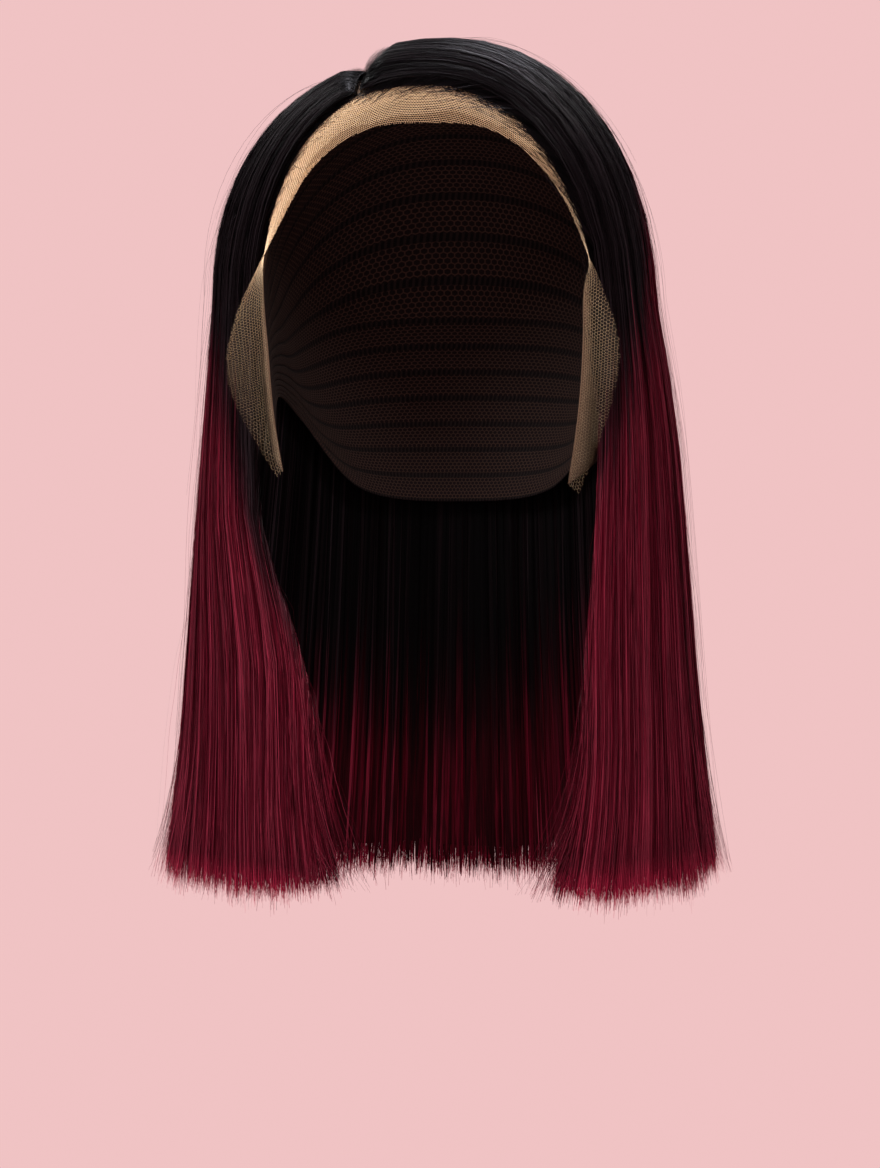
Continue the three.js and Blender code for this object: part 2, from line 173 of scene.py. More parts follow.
# The row of the lace that the hair's edge reaches over, between the two flaps
HAIR_EDGE = table(
    "along row",
    (0.25, 0.67),
    (0.3, 0.7),
    (0.37, 0.653),
    (0.43, 0.605),
    (0.5, 0.602),
    (0.54, 0.63),
    (0.57, 0.67),
    (0.6, 0.71),
    (0.64, 0.77),
    (0.68, 0.83),
    (0.735, 0.8),
)

# The cap's lower edge, from its left end by the nape to its right end
CAP_EDGE = table(
    "along x y z",
    (0, -0.93, 0.04, -0.86),
    (0.12, -0.95, 0.22, -0.76),
    (0.25, -0.86, 0.5, -0.82),
    (0.37, -0.56, 0.72, -0.97),
    (0.5, 0, 0.84, -1),
    (0.63, 0.56, 0.72, -0.97),
    (0.75, 0.86, 0.5, -0.82),
    (0.88, 0.95, 0.22, -0.76),
    (1, 0.93, 0.04, -0.86),
)

# Where the black turns to burgundy, in metres above the origin, round the wig
OMBRE = table(
    "turn starts ends",
    # Rows by the left front edge reach lower: partly the hair's own black, partly painted shade where that
    # edge turns away from the light.
    (0, -0.19, -0.27),
    (0.02, -0.172, -0.24),
    (0.035, -0.152, -0.204),
    (0.06, -0.138, -0.18),
    (0.1, -0.124, -0.157),
    (0.15, -0.112, -0.141),
    (0.2, -0.1, -0.13),
    (0.25, -0.092, -0.122),
    (0.5, -0.09, -0.145),
    (0.75, -0.038, -0.088),
    (0.82, -0.066, -0.112),
    (0.865, -0.1, -0.134),
    (0.92, -0.118, -0.152),
    (0.97, -0.135, -0.18),
    (1, -0.142, -0.19),
)


def read(columns, key, at, name):
    """A table's column at any values of its key, on a smooth curve through the rows."""
    places, values = columns[key], columns[name]
    last = len(places) - 1
    low, high = np.maximum(np.arange(last + 1) - 1, 0), np.minimum(np.arange(last + 1) + 1, last)
    slopes = (values[high] - values[low]) / (places[high] - places[low])
    row = np.clip(np.searchsorted(places, at, side="right") - 1, 0, last - 1)
    span = places[row + 1] - places[row]
    s = np.clip((at - places[row]) / span, 0, 1)
    return (
        (2 * s**3 - 3 * s**2 + 1) * values[row]
        + (s**3 - 2 * s**2 + s) * span * slopes[row]
        + (3 * s**2 - 2 * s**3) * values[row + 1]
        + (s**3 - s**2) * span * slopes[row + 1]
    )


def ease(share):
    share = np.clip(share, 0, 1)
    return share * share * (3 - 2 * share)


def mix(a, b, share):
    return a + (b - a) * share


def unit(v):
    return v / np.maximum(np.linalg.norm(v, axis=-1, keepdims=True), 1e-12)


def stack(x, y, z):
    return np.stack(np.broadcast_arrays(x, y, z), axis=-1)


def at_shares(x, y, z):
    return stack(x * CAP_HALF_WIDTH, y * CAP_HALF_LENGTH, z * CROWN_HEIGHT)


CENTRE = np.array([0, 0, -CROWN_HEIGHT])
HEAD_RADII = np.array([CAP_HALF_WIDTH, CAP_HALF_LENGTH, CROWN_HEIGHT])


def head_radius(direction):
    return (np.abs(direction / HEAD_RADII) ** HEAD_SQUARENESS).sum(-1) ** (-1 / HEAD_SQUARENESS)


def on_head(points, lift):
    """Puts points on the form that the cap fits, or lift metres off it."""
    z = points[..., 2]
    below = z < -CROWN_HEIGHT
    start = stack(0 * z, 0 * z, np.where(below, z, -CROWN_HEIGHT))
    direction = unit(points - start)
    down = np.where(below, (-CROWN_HEIGHT - z) / (CAP_DEPTH - CROWN_HEIGHT), 0)
    radius = head_radius(direction) * (1 - NAPE_NARROWING * down * down)
    return start + direction * (radius + lift)[..., None]


def lace_surface(along, across, lift=0.0):
    """Points of the lace, from the left flap to the right one and from the cap seam to the free edge."""
    seam, line, free = (
        at_shares(*(read(LACE, "along", along, edge + axis) for axis in "xyz")) for edge in "shf"
    )
    out = np.clip((across - HAIRLINE_ROW) / (1 - HAIRLINE_ROW), 0, 1)
    flare = np.maximum(read(LACE, "along", along, "flare"), 0) * LACE_FLARE * out**1.4
    behind = mix(seam, line, np.clip(across / HAIRLINE_ROW, 0, 1)[..., None])
    ahead = mix(line, free, out[..., None])
    points = np.where(across[..., None] < HAIRLINE_ROW, behind, ahead)
    return on_head(points, flare + lift)


def section_point(turn, drop):
    """Outer line of a level section of the hair."""
    left = turn < 0.5
    side = np.where(left, -1.0, 1.0)
    place = np.minimum(turn, 1 - turn)
    column = lambda name: read(SECTIONS, "drop", drop, name)
    pick = lambda name: np.where(left, column(name + "left"), column(name + "right"))
    width = CAP_HALF_WIDTH + HAIR_SPREAD * pick("")
    widest = CAP_HALF_LENGTH * column("widest")
    edge, front = CAP_HALF_WIDTH * pick("edge_"), CAP_HALF_LENGTH * pick("front_")
    back = CAP_HALF_LENGTH + HAIR_SPREAD * column("back")
    angle = 2 * math.pi * place
    x_front = edge + (width - edge) * np.sin(angle)
    y_front = widest - (front + widest) * np.cos(angle)
    power = 2 / HEAD_SQUARENESS
    x_back = width * np.abs(np.sin(angle)) ** power
    y_back = widest + (back - widest) * np.abs(np.cos(angle)) ** power
    ahead = place < 0.25
    return side * np.where(ahead, x_front, x_back), np.where(ahead, y_front, y_back)


def root_point(turn):
    """Where a strand starts: along one side of the part, or round its end."""
    front, end = at_shares(**PART_FRONT), at_shares(**PART_END)
    left = turn <= LEFT_ENDS
    share = np.clip(np.where(left, turn / LEFT_ENDS, (1 - turn) / (1 - RIGHT_STARTS)), 0, 1)
    apart = mix(PART_WIDTH / 2, WHORL_RADIUS, ease(share)) * np.where(left, -1, 1)
    angle = math.pi * np.clip((turn - LEFT_ENDS) / (RIGHT_STARTS - LEFT_ENDS), 0, 1)
    behind = (turn > LEFT_ENDS) & (turn < RIGHT_STARTS)
    straight = mix(front, end, share[..., None]) + stack(apart, 0, 0)
    round_end = end + WHORL_RADIUS * stack(-np.cos(angle), np.sin(angle), 0 * angle)
    return np.where(behind[..., None], round_end, straight)


def part_body(turn):
    across = ease((turn - LEFT_ENDS) / (RIGHT_STARTS - LEFT_ENDS))
    full = mix(PART_BODY_LEFT, PART_BODY_RIGHT, across)
    return mix(EDGE_BODY, full, ease(np.minimum(turn, 1 - turn) / 0.07))


def hair_surface(turn, down):
    """Outer and inner points of the hair: down is 0 at the root, 1 at the widest level, 2 at the tip."""
    turn, down = np.broadcast_arrays(np.asarray(turn, float), np.asarray(down, float))
    rest = CAP_WALL + KNOT_HEIGHT
    ring_drop = CROWN_HEIGHT / HAIR_DROP
    ring_x, ring_y = section_point(turn, ring_drop + 0 * turn)
    ring = stack(ring_x, ring_y, 0 * ring_x)
    outward = unit(ring)
    ring_body = np.hypot(ring_x, ring_y) - head_radius(outward) - rest
    d = np.clip(down, 0, 1)
    root = root_point(turn) - CENTRE
    bend = at_shares(*(read(BENDS, "turn", turn, axis) for axis in "xyz"))
    share = d[..., None]
    direction = unit(root * (1 - share) ** 2 + bend * 2 * share * (1 - share) + ring * share**2)
    puff = 1 + read(BENDS, "turn", turn, "lift") * np.sin(math.pi * d)
    body = mix(part_body(turn), ring_body, d**1.15) * puff
    dome_inner = CENTRE + direction * (head_radius(direction) + rest)[..., None]
    dome_outer = dome_inner + direction * body[..., None]
    hang = np.clip(down - 1, 0, 1)
    drop = mix(ring_drop, 1, hang)
    x, y = section_point(turn, drop)
    face = np.minimum(turn, 1 - turn)
    z = -HAIR_DROP * drop + SIDE_RISE * np.sin(2 * math.pi * face) * hang**4
    outer = stack(x, y, z)
    step = 0.004
    x0, y0 = section_point(np.clip(turn - step, 0, 1), drop)
    x1, y1 = section_point(np.clip(turn + step, 0, 1), drop)
    normal = unit(stack(y0 - y1, x1 - x0, 0 * x0))
    normal = normal * np.where((normal * outward).sum(-1) < 0, -1, 1)[..., None]
    normal = unit(mix(outward, normal, ease(hang * 2)[..., None]))
    full = CURTAIN_BODY * mix(0.22, 1, ease(face / 0.14))
    inner = outer - normal * mix(ring_body, full, ease(hang * 1.6))[..., None]
    over = (down <= 1)[..., None]
    return np.where(over, dome_outer, outer), np.where(over, dome_inner, inner)


LOCKS = [(0, LEFT_ENDS, 9), (LEFT_ENDS, RIGHT_STARTS, 9), (RIGHT_STARTS, 1, 10)]
WAVES = rng.uniform(0, 2 * math.pi, (6, 2))


def lock_relief(turn, down):
    """How far the locks stand out: the broad ones of the solids, and finer ones on them."""
    shape = 0 * turn
    for start, end, count in LOCKS:
        phase = np.clip((turn - start) / (end - start), 0, 1) * count
        here = (turn >= start) & (turn <= end)
        shape = np.where(here, np.interp(phase % 1, [0, 0.18, 0.42, 0.75, 1], [0, 0.6, 1, 0.55, 0]), shape)
    fine = 0
    for k, (a, b) in enumerate(WAVES):
        count = 70 + 37 * k
        wave = turn * count * 2 * math.pi + a + 1.3 * np.sin(down * (1.5 + k * 0.4) + b)
        fine = fine + np.sin(wave) / (k + 2)
    grown = ease(down * 2) * mix(0.7, 1, np.clip(down - 1, 0, 1))
    return LOCK_RELIEF * shape * grown + 0.35 * MM * fine * ease(down * 3)


def lock_end(turn):
    """How much shorter the hair is cut here: lock by lock, and rounded off at the corners of the cut."""
    short = 0 * turn
    for start, end, count in LOCKS:
        phase = np.clip((turn - start) / (end - start), 0, 1) * count
        ends = np.array(LOCK_ENDS)[np.arange(count) % len(LOCK_ENDS)]
        here = (turn >= start) & (turn <= end)
        short = np.where(here, np.interp(phase, np.arange(count) + 0.5, ends), short)
    face = np.minimum(turn, 1 - turn)
    front = np.where(turn < 0.5, LEFT_CORNER, RIGHT_CORNER) * ease(1 - face / 0.055)
    side = SIDE_CORNER * ease((0.09 - np.abs(face - 0.25)) / 0.08)
    return RAGGED_CUT * short + front + side


def fall(tip, down):
    """Where a strand is round the wig on its way to its tip: the front ones hang straighter than the edge."""
    left = tip < 0.5
    hang = np.clip(down - 1, 0, 1)
    slant = np.where(left, 0.05, 0.034) * (1 - ease(np.minimum(tip, 1 - tip) / 0.15))
    aside = slant * (1 - ease((hang - 0.2) / 0.7))
    return np.where(left, tip - aside, tip + aside)


def round_edge(turn, down):
    """The hair's outside, and past its front edges its inside: points, the way out and the body there."""
    past = np.maximum(-turn, turn - 1)
    kept = np.clip(np.where(turn < 0, -turn, np.where(turn > 1, 2 - turn, turn)), FRONT_LEFT, FRONT_RIGHT)
    outer, inner = hair_surface(kept, down)
    edge = np.where(turn < 0.5, FRONT_LEFT, FRONT_RIGHT)
    ahead = unit(hair_surface(edge, down)[0] - hair_surface(np.abs(edge - 0.012), down)[0])
    across = outer - inner
    body = np.linalg.norm(across, axis=-1)
    about = math.pi * ease((past + 0.004) / 0.012)
    over = ((1 - np.cos(about)) / 2)[..., None]
    way = np.cos(about)[..., None] * unit(across) + np.sin(about)[..., None] * ahead
    bulge = ahead * (0.25 * body * np.sin(about))[..., None]
    return mix(outer, inner, over) + bulge, unit(way), body, kept


def ombre(turn, z, down, lower=0.0):
    """The colour's place along a strand: 0 to 0.3 black, up to 0.6 turning, up to 1 burgundy."""
    starts = read(OMBRE, "turn", turn, "starts") - lower
    ends = read(OMBRE, "turn", turn, "ends") - lower
    black = 0.3 * np.clip(0.55 * down / 1.3 + 0.45 * (0.01 - z) / (0.01 - starts), 0, 1)
    turning = 0.3 * np.clip((starts - z) / (starts - ends), 0, 1)
    red = 0.4 * np.clip((ends - z) / (ends + HAIR_DROP), 0, 1)
    return np.clip(black + turning + red, 0.002, 0.998)


def mesh_piece(name, points, faces, materials, maps=None, smooth=True):
    """A new piece from arrays of points and four-sided faces, with its maps given for each corner."""
    mesh = bpy.data.meshes.new(name)
    mesh.vertices.add(len(points))
    mesh.vertices.foreach_set("co", np.ascontiguousarray(points, np.float32).ravel())
    mesh.loops.add(faces.size)
    mesh.loops.foreach_set("vertex_index", np.ascontiguousarray(faces, np.int32).ravel())
    mesh.polygons.add(len(faces))
    mesh.polygons.foreach_set("loop_start", np.arange(0, faces.size, faces.shape[1], dtype=np.int32))
    mesh.update(calc_edges=True)
    mesh.polygons.foreach_set("use_smooth", np.full(len(faces), smooth))
    for map_name, values in (maps or {}).items():
        layer = mesh.uv_layers.new(name=map_name)
        layer.data.foreach_set("uv", np.ascontiguousarray(values, np.float32).ravel())
    piece = bpy.data.objects.new(name, mesh)
    bpy.context.collection.objects.link(piece)
    for material in materials:
        mesh.materials.append(material)
    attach(piece, "root")
    return piece


def strand_lines(tip, start, end, steps, depth, drift=0.0, short=0.0, rise=0.0, sway=0.0, clump=0.0):
    """Points down the middle of strands, with the way out of the hair at each point."""
    count = len(tip)
    column = lambda value: np.reshape(value, (-1, 1))
    share = np.linspace(0, 1, steps)[None, :]
    down = mix(column(start), column(end), share**1.4)
    hang = np.clip(down - 1, 0, 1)
    centre = (np.floor(tip / CLUMP) + 0.5) * CLUMP
    turn = fall(tip[:, None], down) + column(drift) * (share - 0.5)
    turn = turn + (centre - tip)[:, None] * column(clump) * hang**5
    surface, out, body, kept = round_edge(turn, down)
    sunk = column(depth) * np.ones_like(down)
    deep = np.minimum(np.maximum(body - 0.3 * MM, sunk), sunk + body * (1 - ease(down / ROOT_RISE)))
    points = surface + out * (lock_relief(kept, down) - deep)[..., None]
    points[..., 2] += (column(short) + lock_end(kept)) * hang**4
    along = unit(np.gradient(points, axis=1))
    side = unit(np.cross(along, out))
    phase = rng.uniform(0, 2 * math.pi, (count, 1))
    waves = np.sin(phase + share * rng.uniform(4, 11, (count, 1)))
    points = points + side * (column(sway) * waves)[..., None]
    points = points + out * (column(rise) * np.sin(math.pi * share) ** 0.8)[..., None]
    return points, out, kept, down


def spacing(turn, down):
    """How wide the hair is here for each unit round the wig."""
    step = 0.003
    low, high = np.clip(turn - step, 0, 1), np.clip(turn + step, 0, 1)
    return np.linalg.norm(hair_surface(high, down)[0] - hair_surface(low, down)[0], axis=-1) / (high - low)


def tone_of(turn, lightness=0.0):
    """A strand's column of tone: broad bands round the wig, painted shade darkening the strands by the front
    edges, a painted highlight on the left side, and chance.
    """
    bands = sum(np.sin(turn * k * 2 * math.pi + a) for k, (a, _) in zip((17, 31, 53, 89), WAVES)) / 4
    # Painted shade: strands by both front edges are darker, where the edges turn away from the light.
    shade = 0.28 * ease(1 - turn / 0.03) + 0.42 * ease(1 - (1 - turn) / 0.03)
    # Painted highlight: a lighter band of strands on the left side, where the light falls.
    shade = shade - 0.12 * ease(1 - np.abs(turn - 0.2) / 0.09)
    tone = 0.42 + lightness - shade + 0.22 * bands + rng.normal(0, 0.3, len(turn))
    return np.clip(tone * TONES, 0, TONES - 1).astype(int)


def ribbons(points, out, turn, down, width, twist, tone, share=1.0, lower=0.0):
    """Flat ribbons along the strands: points, faces and the map of each corner."""
    count, steps, _ = points.shape
    along = unit(np.gradient(points, axis=1))
    side = unit(np.cross(along, out))
    up = unit(np.cross(side, along))
    turned = side * np.cos(twist)[..., None] + up * np.sin(twist)[..., None]
    half = (width / 2)[..., None]
    verts = np.stack([points - turned * half, points + turned * half], axis=2).reshape(-1, 3)
    base = (np.arange(count)[:, None] * steps + np.arange(steps - 1)[None, :]) * 2
    faces = np.stack([base, base + 1, base + 3, base + 2], axis=-1).reshape(-1, 4)
    v = ombre(turn, points[..., 2], down, lower + rng.normal(0, 0.012, (count, 1)))
    v = np.clip(np.maximum.accumulate(v, axis=1) + np.linspace(0, 1e-3, steps)[None, :], 0.001, 0.999)
    begins = rng.uniform(0.04, 0.96 - 0.92 * share, (count, 1)) if share < 1 else 0.04
    u = (tone[:, None] + begins + 0.92 * share * np.linspace(0, 1, 2)[None, :]) / TONES
    corner_u = np.broadcast_to(u[:, None, :], (count, steps, 2)).reshape(-1)
    corner_v = np.broadcast_to(v[..., None], (count, steps, 2)).reshape(-1)
    return verts, faces, np.stack([corner_u, corner_v], axis=-1)[faces.ravel()]


def strand_piece(name, parts):
    """One piece from several lots of ribbons."""
    points, faces, maps, first = [], [], [], 0
    for part_points, part_faces, part_map in parts:
        points.append(part_points)
        faces.append(part_faces + first)
        maps.append(part_map)
        first += len(part_points)
    maps = {"OFBake": np.concatenate(maps)}
    return mesh_piece(name, np.concatenate(points), np.concatenate(faces), [HAIR], maps)


# Materials


def new_material(name, **sockets):
    material = bpy.data.materials.new(name)
    material.use_nodes = True
    shader = material.node_tree.nodes["Principled BSDF"]
    for socket, value in sockets.items():
        shader.inputs[socket.replace("_", " ")].default_value = value
    return material, material.node_tree.nodes, material.node_tree.links, shader


def ramp(nodes, stops):
    node = nodes.new("ShaderNodeValToRGB")
    elements = node.color_ramp.elements
    while len(elements) < len(stops):
        elements.new(0.5)
    for element, (place, colour) in zip(elements, stops):
        element.position = place
        element.color = (*colour, 1)
    return node


def ranged(nodes, links, value, low, high, to_low, to_high):
    """A value stretched from one range to another."""
    node = nodes.new("ShaderNodeMapRange")
    for socket, number in zip(("From Min", "From Max", "To Min", "To Max"), (low, high, to_low, to_high)):
        node.inputs[socket].default_value = number
    links.new(value, node.inputs["Value"])
    return node.outputs["Result"]


def sums(nodes, links, operation, a, b=None):
    """One sum of two values, or of a value and a number."""
    node = nodes.new("ShaderNodeMath")
    node.operation = operation
    for socket, value in zip(node.inputs, (a, b)):
        if isinstance(value, (int, float)):
            socket.default_value = value
        elif value is not None:
            links.new(value, socket)
    return node.outputs[0]


def vector_sums(nodes, links, operation, a, b=None):
    node = nodes.new("ShaderNodeVectorMath")
    node.operation = operation
    for socket, value in zip(node.inputs, (a, b)):
        if isinstance(value, tuple):
            socket.default_value = value
        elif value is not None:
            links.new(value, socket)
    return node.outputs[0]


def blended(nodes, links, kind, factor, a, b):
    """Two colours blended: each is a colour or a socket."""
    node = nodes.new("ShaderNodeMix")
    node.data_type = "RGBA"
    node.blend_type = kind
    for socket, value in zip(("Factor", "A", "B"), (factor, a, b)):
        if isinstance(value, tuple):
            node.inputs[socket].default_value = (*value, 1)
        elif isinstance(value, int):
            node.inputs[socket].default_value = value
        else:
            links.new(value, node.inputs[socket])
    return node.outputs["Result"]


def add_relief(nodes, links, shader, height, strength, distance):
    node = nodes.new("ShaderNodeBump")
    node.inputs["Strength"].default_value = strength
    node.inputs["Distance"].default_value = distance
    links.new(height, node.inputs["Height"])
    links.new(node.outputs["Normal"], shader.inputs["Normal"])


def noise_on(nodes, links, place, scale, detail):
    node = nodes.new("ShaderNodeTexNoise")
    node.inputs["Scale"].default_value = scale
    node.inputs["Detail"].default_value = detail
    links.new(place, node.inputs["Vector"])
    return node.outputs["Fac"]


def coloured(nodes, links, value, stops):
    node = ramp(nodes, stops)
    links.new(value, node.inputs[0])
    return node.outputs["Color"]


def hexagon_distance(nodes, links, place):
    """How far a place is from the middle of its six-sided cell, 0.5 at the cell's sides."""
    centred = vector_sums(nodes, links, "SUBTRACT", place, (0.5, math.sqrt(3) / 2, 0))
    apart = vector_sums(nodes, links, "ABSOLUTE", centred)
    split = nodes.new("ShaderNodeSeparateXYZ")
    links.new(apart, split.inputs[0])
    slanted = sums(
        nodes,
        links,
        "ADD",
        sums(nodes, links, "MULTIPLY", split.outputs["X"], 0.5),
        sums(nodes, links, "MULTIPLY", split.outputs["Y"], math.sqrt(3) / 2),
    )
    return sums(nodes, links, "MAXIMUM", split.outputs["X"], slanted)


def six_sided_net(nodes, links, map_name, pitch):
    """Threads of a six-sided net on a piece's map in metres: 1 on a thread, 0 in the cells."""
    uv = nodes.new("ShaderNodeUVMap")
    uv.uv_map = map_name
    cells = vector_sums(nodes, links, "MULTIPLY", uv.outputs["UV"], (1 / pitch, 1 / pitch, 0))
    tile = (1.0, math.sqrt(3), 1.0)
    first = vector_sums(nodes, links, "MODULO", cells, tile)
    moved = vector_sums(nodes, links, "ADD", cells, (0.5, math.sqrt(3) / 2, 0))
    second = vector_sums(nodes, links, "MODULO", moved, tile)
    nearest = sums(
        nodes,
        links,
        "MINIMUM",
        hexagon_distance(nodes, links, first),
        hexagon_distance(nodes, links, second),
    )
    return ranged(nodes, links, nearest, 0.36, 0.46, 0, 1), uv


BLACK_ROOT = (0.0032, 0.0024, 0.0029)
BLACK_LOW = (0.0045, 0.0024, 0.0031)
WINE_DARK = (0.02, 0.0014, 0.0042)
WINE = (0.067, 0.0012, 0.0078)
WINE_TIP = (0.06, 0.0013, 0.0074)
# Painted light: the very ends brighter, standing in for light shining through the thin tips.
WINE_END_PAINTED_GLOW = (0.2, 0.0045, 0.024)
# Painted sheen: the grey and purple-grey highlight colours added on the brighter strands.
PAINTED_SHEEN_BLACK = (0.006, 0.0052, 0.0062)
PAINTED_SHEEN_WINE = (0.03, 0.0145, 0.0185)
WEFT_COLOURS = [(0.35, (0.0035, 0.0025, 0.0027)), (0.75, (0.016, 0.011, 0.01))]


def hair_material():
    """Straight silky hair: black to burgundy along the strand, dark to bright across the map, with a painted
    sheen added on the brighter strands and the very ends brightened as painted light through the tips.
    """
    material, nodes, links, shader = new_material(
        "hair_strands", Roughness=0.36, Anisotropic=0.5, IOR=1.5, Specular_IOR_Level=0.09
    )
    uv = nodes.new("ShaderNodeUVMap")
    uv.uv_map = "OFBake"
    split = nodes.new("ShaderNodeSeparateXYZ")
    links.new(uv.outputs["UV"], split.inputs[0])
    shades = [(0, BLACK_ROOT), (0.3, BLACK_LOW), (0.45, WINE_DARK)]
    shades += [(0.6, WINE), (0.965, WINE_TIP), (1, WINE_END_PAINTED_GLOW)]
    colours = coloured(nodes, links, split.outputs["Y"], shades)
    streaks = nodes.new("ShaderNodeMapping")
    streaks.inputs["Scale"].default_value = (TONES * 4.5, 7.0, 1.0)
    links.new(uv.outputs["UV"], streaks.inputs[0])
    fibres = noise_on(nodes, links, streaks.outputs[0], 1.0, 3.0)
    tone = ranged(nodes, links, split.outputs["X"], 0, 1, 0.2, 2.0)
    streak = ranged(nodes, links, fibres, 0.3, 0.7, 0.25, 1.75)
    shaded = blended(nodes, links, "MULTIPLY", 1, colours, sums(nodes, links, "MULTIPLY", tone, streak))
    # Painted sheen: a highlight colour added on the brighter strands, more on the brightest.
    painted_sheen = coloured(nodes, links, split.outputs["Y"], [(0.35, PAINTED_SHEEN_BLACK), (0.6, PAINTED_SHEEN_WINE)])
    lightness = ranged(nodes, links, split.outputs["X"], 0.5, 1, 0, 1)
    links.new(blended(nodes, links, "ADD", lightness, shaded, painted_sheen), shader.inputs["Base Color"])
    links.new(ranged(nodes, links, fibres, 0, 1, 0.3, 0.46), shader.inputs["Roughness"])
    add_relief(nodes, links, shader, fibres, 0.35, 0.0003)
    tangent = nodes.new("ShaderNodeTangent")
    tangent.direction_type = "UV_MAP"
    tangent.uv_map = "OFBake"
    links.new(tangent.outputs["Tangent"], shader.inputs["Tangent"])
    return material


def net_material(name, thread, gap, pitch, roughness, rows=0):
    """Fine net, drawn on the piece's own map: threads over what shows between them, and rows of stitches."""
    material, nodes, links, shader = new_material(name, Roughness=roughness, Specular_IOR_Level=0.2)
    net, uv = six_sided_net(nodes, links, "cloth", pitch)
    last, height = blended(nodes, links, "MIX", net, gap, thread), net
    if rows:
        split = nodes.new("ShaderNodeSeparateXYZ")
        links.new(uv.outputs["UV"], split.inputs[0])
        wave = sums(nodes, links, "MULTIPLY", split.outputs["Y"], rows * 2 * math.pi)
        row = ranged(nodes, links, sums(nodes, links, "COSINE", wave), 0.72, 0.86, 0, 1)
        zigzag = sums(nodes, links, "MULTIPLY", split.outputs["X"], 2 * math.pi / (1.6 * MM))
        stitch = sums(nodes, links, "SINE", sums(nodes, links, "ADD", zigzag, wave))
        tape = coloured(nodes, links, ranged(nodes, links, stitch, -1, 1, 0, 1), WEFT_COLOURS)
        last = blended(nodes, links, "MIX", row, last, tape)
        height = sums(nodes, links, "ADD", net, sums(nodes, links, "MULTIPLY", row, stitch))
    links.new(last, shader.inputs["Base Color"])
    add_relief(nodes, links, shader, height, 0.6, 0.0002)
    return material


def thread_material(name, dark, light):
    """Tan lace thread, a little uneven."""
    material, nodes, links, shader = new_material(
        name, Roughness=0.62, Sheen_Weight=0.08, Specular_IOR_Level=0.2
    )
    place = nodes.new("ShaderNodeTexCoord")
    noise = noise_on(nodes, links, place.outputs["Object"], 900.0, 2.0)
    links.new(coloured(nodes, links, noise, [(0.3, dark), (0.7, light)]), shader.inputs["Base Color"])
    add_relief(nodes, links, shader, noise, 0.3, 0.0001)
    return material


HAIR = hair_material()
LACE_THREAD = thread_material("lace_thread", (0.82, 0.66, 0.38), (0.95, 0.81, 0.54))
LACE_FOLD = thread_material("lace_fold", (0.58, 0.44, 0.24), (0.7, 0.55, 0.34))
LACE_UNDER = net_material("lace_under_hair", (0.3, 0.21, 0.125), (0.035, 0.021, 0.014), NET_PITCH, 0.8)
CAP_NET = net_material(
    "cap_net", (0.055, 0.031, 0.022), (0.008, 0.005, 0.005), CAP_PITCH, 0.85, WEFT_ROWS / 0.2
)


# Hair


def hair_mass(name, start, end, locks):
    """The dense hair under the loose strands: a closed body with locks in relief, in dark tones as painted
    shade.
    """
    columns, rows = locks * 12, 46
    turn = np.linspace(start + 0.0004 * (start > 0), end - 0.0004 * (end < 1), columns + 1)[:, None]
    down = np.concatenate([np.linspace(0.02, 1, 22), np.linspace(1, 1.955, rows - 20)[1:]])[None, :]
    turn, down = np.broadcast_arrays(turn, down)
    outer, inner = hair_surface(turn, down)
    out = unit(outer - inner)
    body = np.linalg.norm(outer - inner, axis=-1)
    under = np.minimum(1.9 * MM, 0.45 * body)
    under = mix(body - 0.3 * MM, under, ease(down / 0.14))
    outer = outer + out * (lock_relief(turn, down) * np.clip(body / (6 * MM), 0, 1) - under)[..., None]
    inner = inner + out * (0.3 * MM * np.sin(turn * 700))[..., None]
    hang = np.clip(down - 1, 0, 1)
    for layer in (outer, inner):
        layer[..., 2] += lock_end(turn) * hang**4
    count_i, count_j = turn.shape
    grid = np.arange(count_i * count_j).reshape(count_i, count_j)
    far = grid + count_i * count_j

    def quads(a, b, c, d):
        return np.stack([a, b, c, d], axis=-1).reshape(-1, 4)

    faces = np.concatenate(
        [
            quads(grid[:-1, :-1], grid[1:, :-1], grid[1:, 1:], grid[:-1, 1:]),
            quads(far[:-1, :-1], far[:-1, 1:], far[1:, 1:], far[1:, :-1]),
            quads(grid[:-1, 0], far[:-1, 0], far[1:, 0], grid[1:, 0]),
            quads(grid[:-1, -1], grid[1:, -1], far[1:, -1], far[:-1, -1]),
            quads(grid[0, :-1], grid[0, 1:], far[0, 1:], far[0, :-1]),
            quads(grid[-1, :-1], far[-1, :-1], far[-1, 1:], grid[-1, 1:]),
        ]
    )
    points = np.concatenate([outer.reshape(-1, 3), inner.reshape(-1, 3)])
    # Painted shade: the mass takes dark tone columns, for the deep hair under the loose strands.
    painted_shade_columns = np.concatenate([(0.02 + 0.3 * turn).reshape(-1)] * 2)
    # The inner layer's black reaches lower: partly the hair's own dye, partly painted shade.
    heights = [ombre(turn, outer[..., 2], down, lower).reshape(-1) for lower in (0, INNER_DYE_AND_PAINTED_SHADE)]
    heights = np.concatenate(heights)
    maps = np.stack([painted_shade_columns, heights], axis=-1)[faces.ravel()]
    piece = mesh_piece(name, points, faces, [HAIR], {"OFBake": maps})
    face_outwards(piece)
    return piece


def face_outwards(piece):
    bpy.ops.object.select_all(action="DESELECT")
    bpy.context.view_layer.objects.active = piece
    piece.select_set(True)
    bpy.ops.object.mode_set(mode="EDIT")
    bpy.ops.mesh.select_all(action="SELECT")
    bpy.ops.mesh.normals_make_consistent(inside=False)
    bpy.ops.object.mode_set(mode="OBJECT")
    piece.select_set(False)


def spread(count, start, end):
    return start + (end - start) * (np.arange(count) + rng.uniform(0, 1, count)) / count


def starting(tip, at_root):
    """Where strands start: those that come from behind a front edge start lower, on the inside."""
    top = fall(tip, 1.0 + 0 * tip)
    behind = (top < FRONT_LEFT) | (top > FRONT_RIGHT)
    return np.where(behind, rng.uniform(1.03, 1.3, len(tip)), at_root)


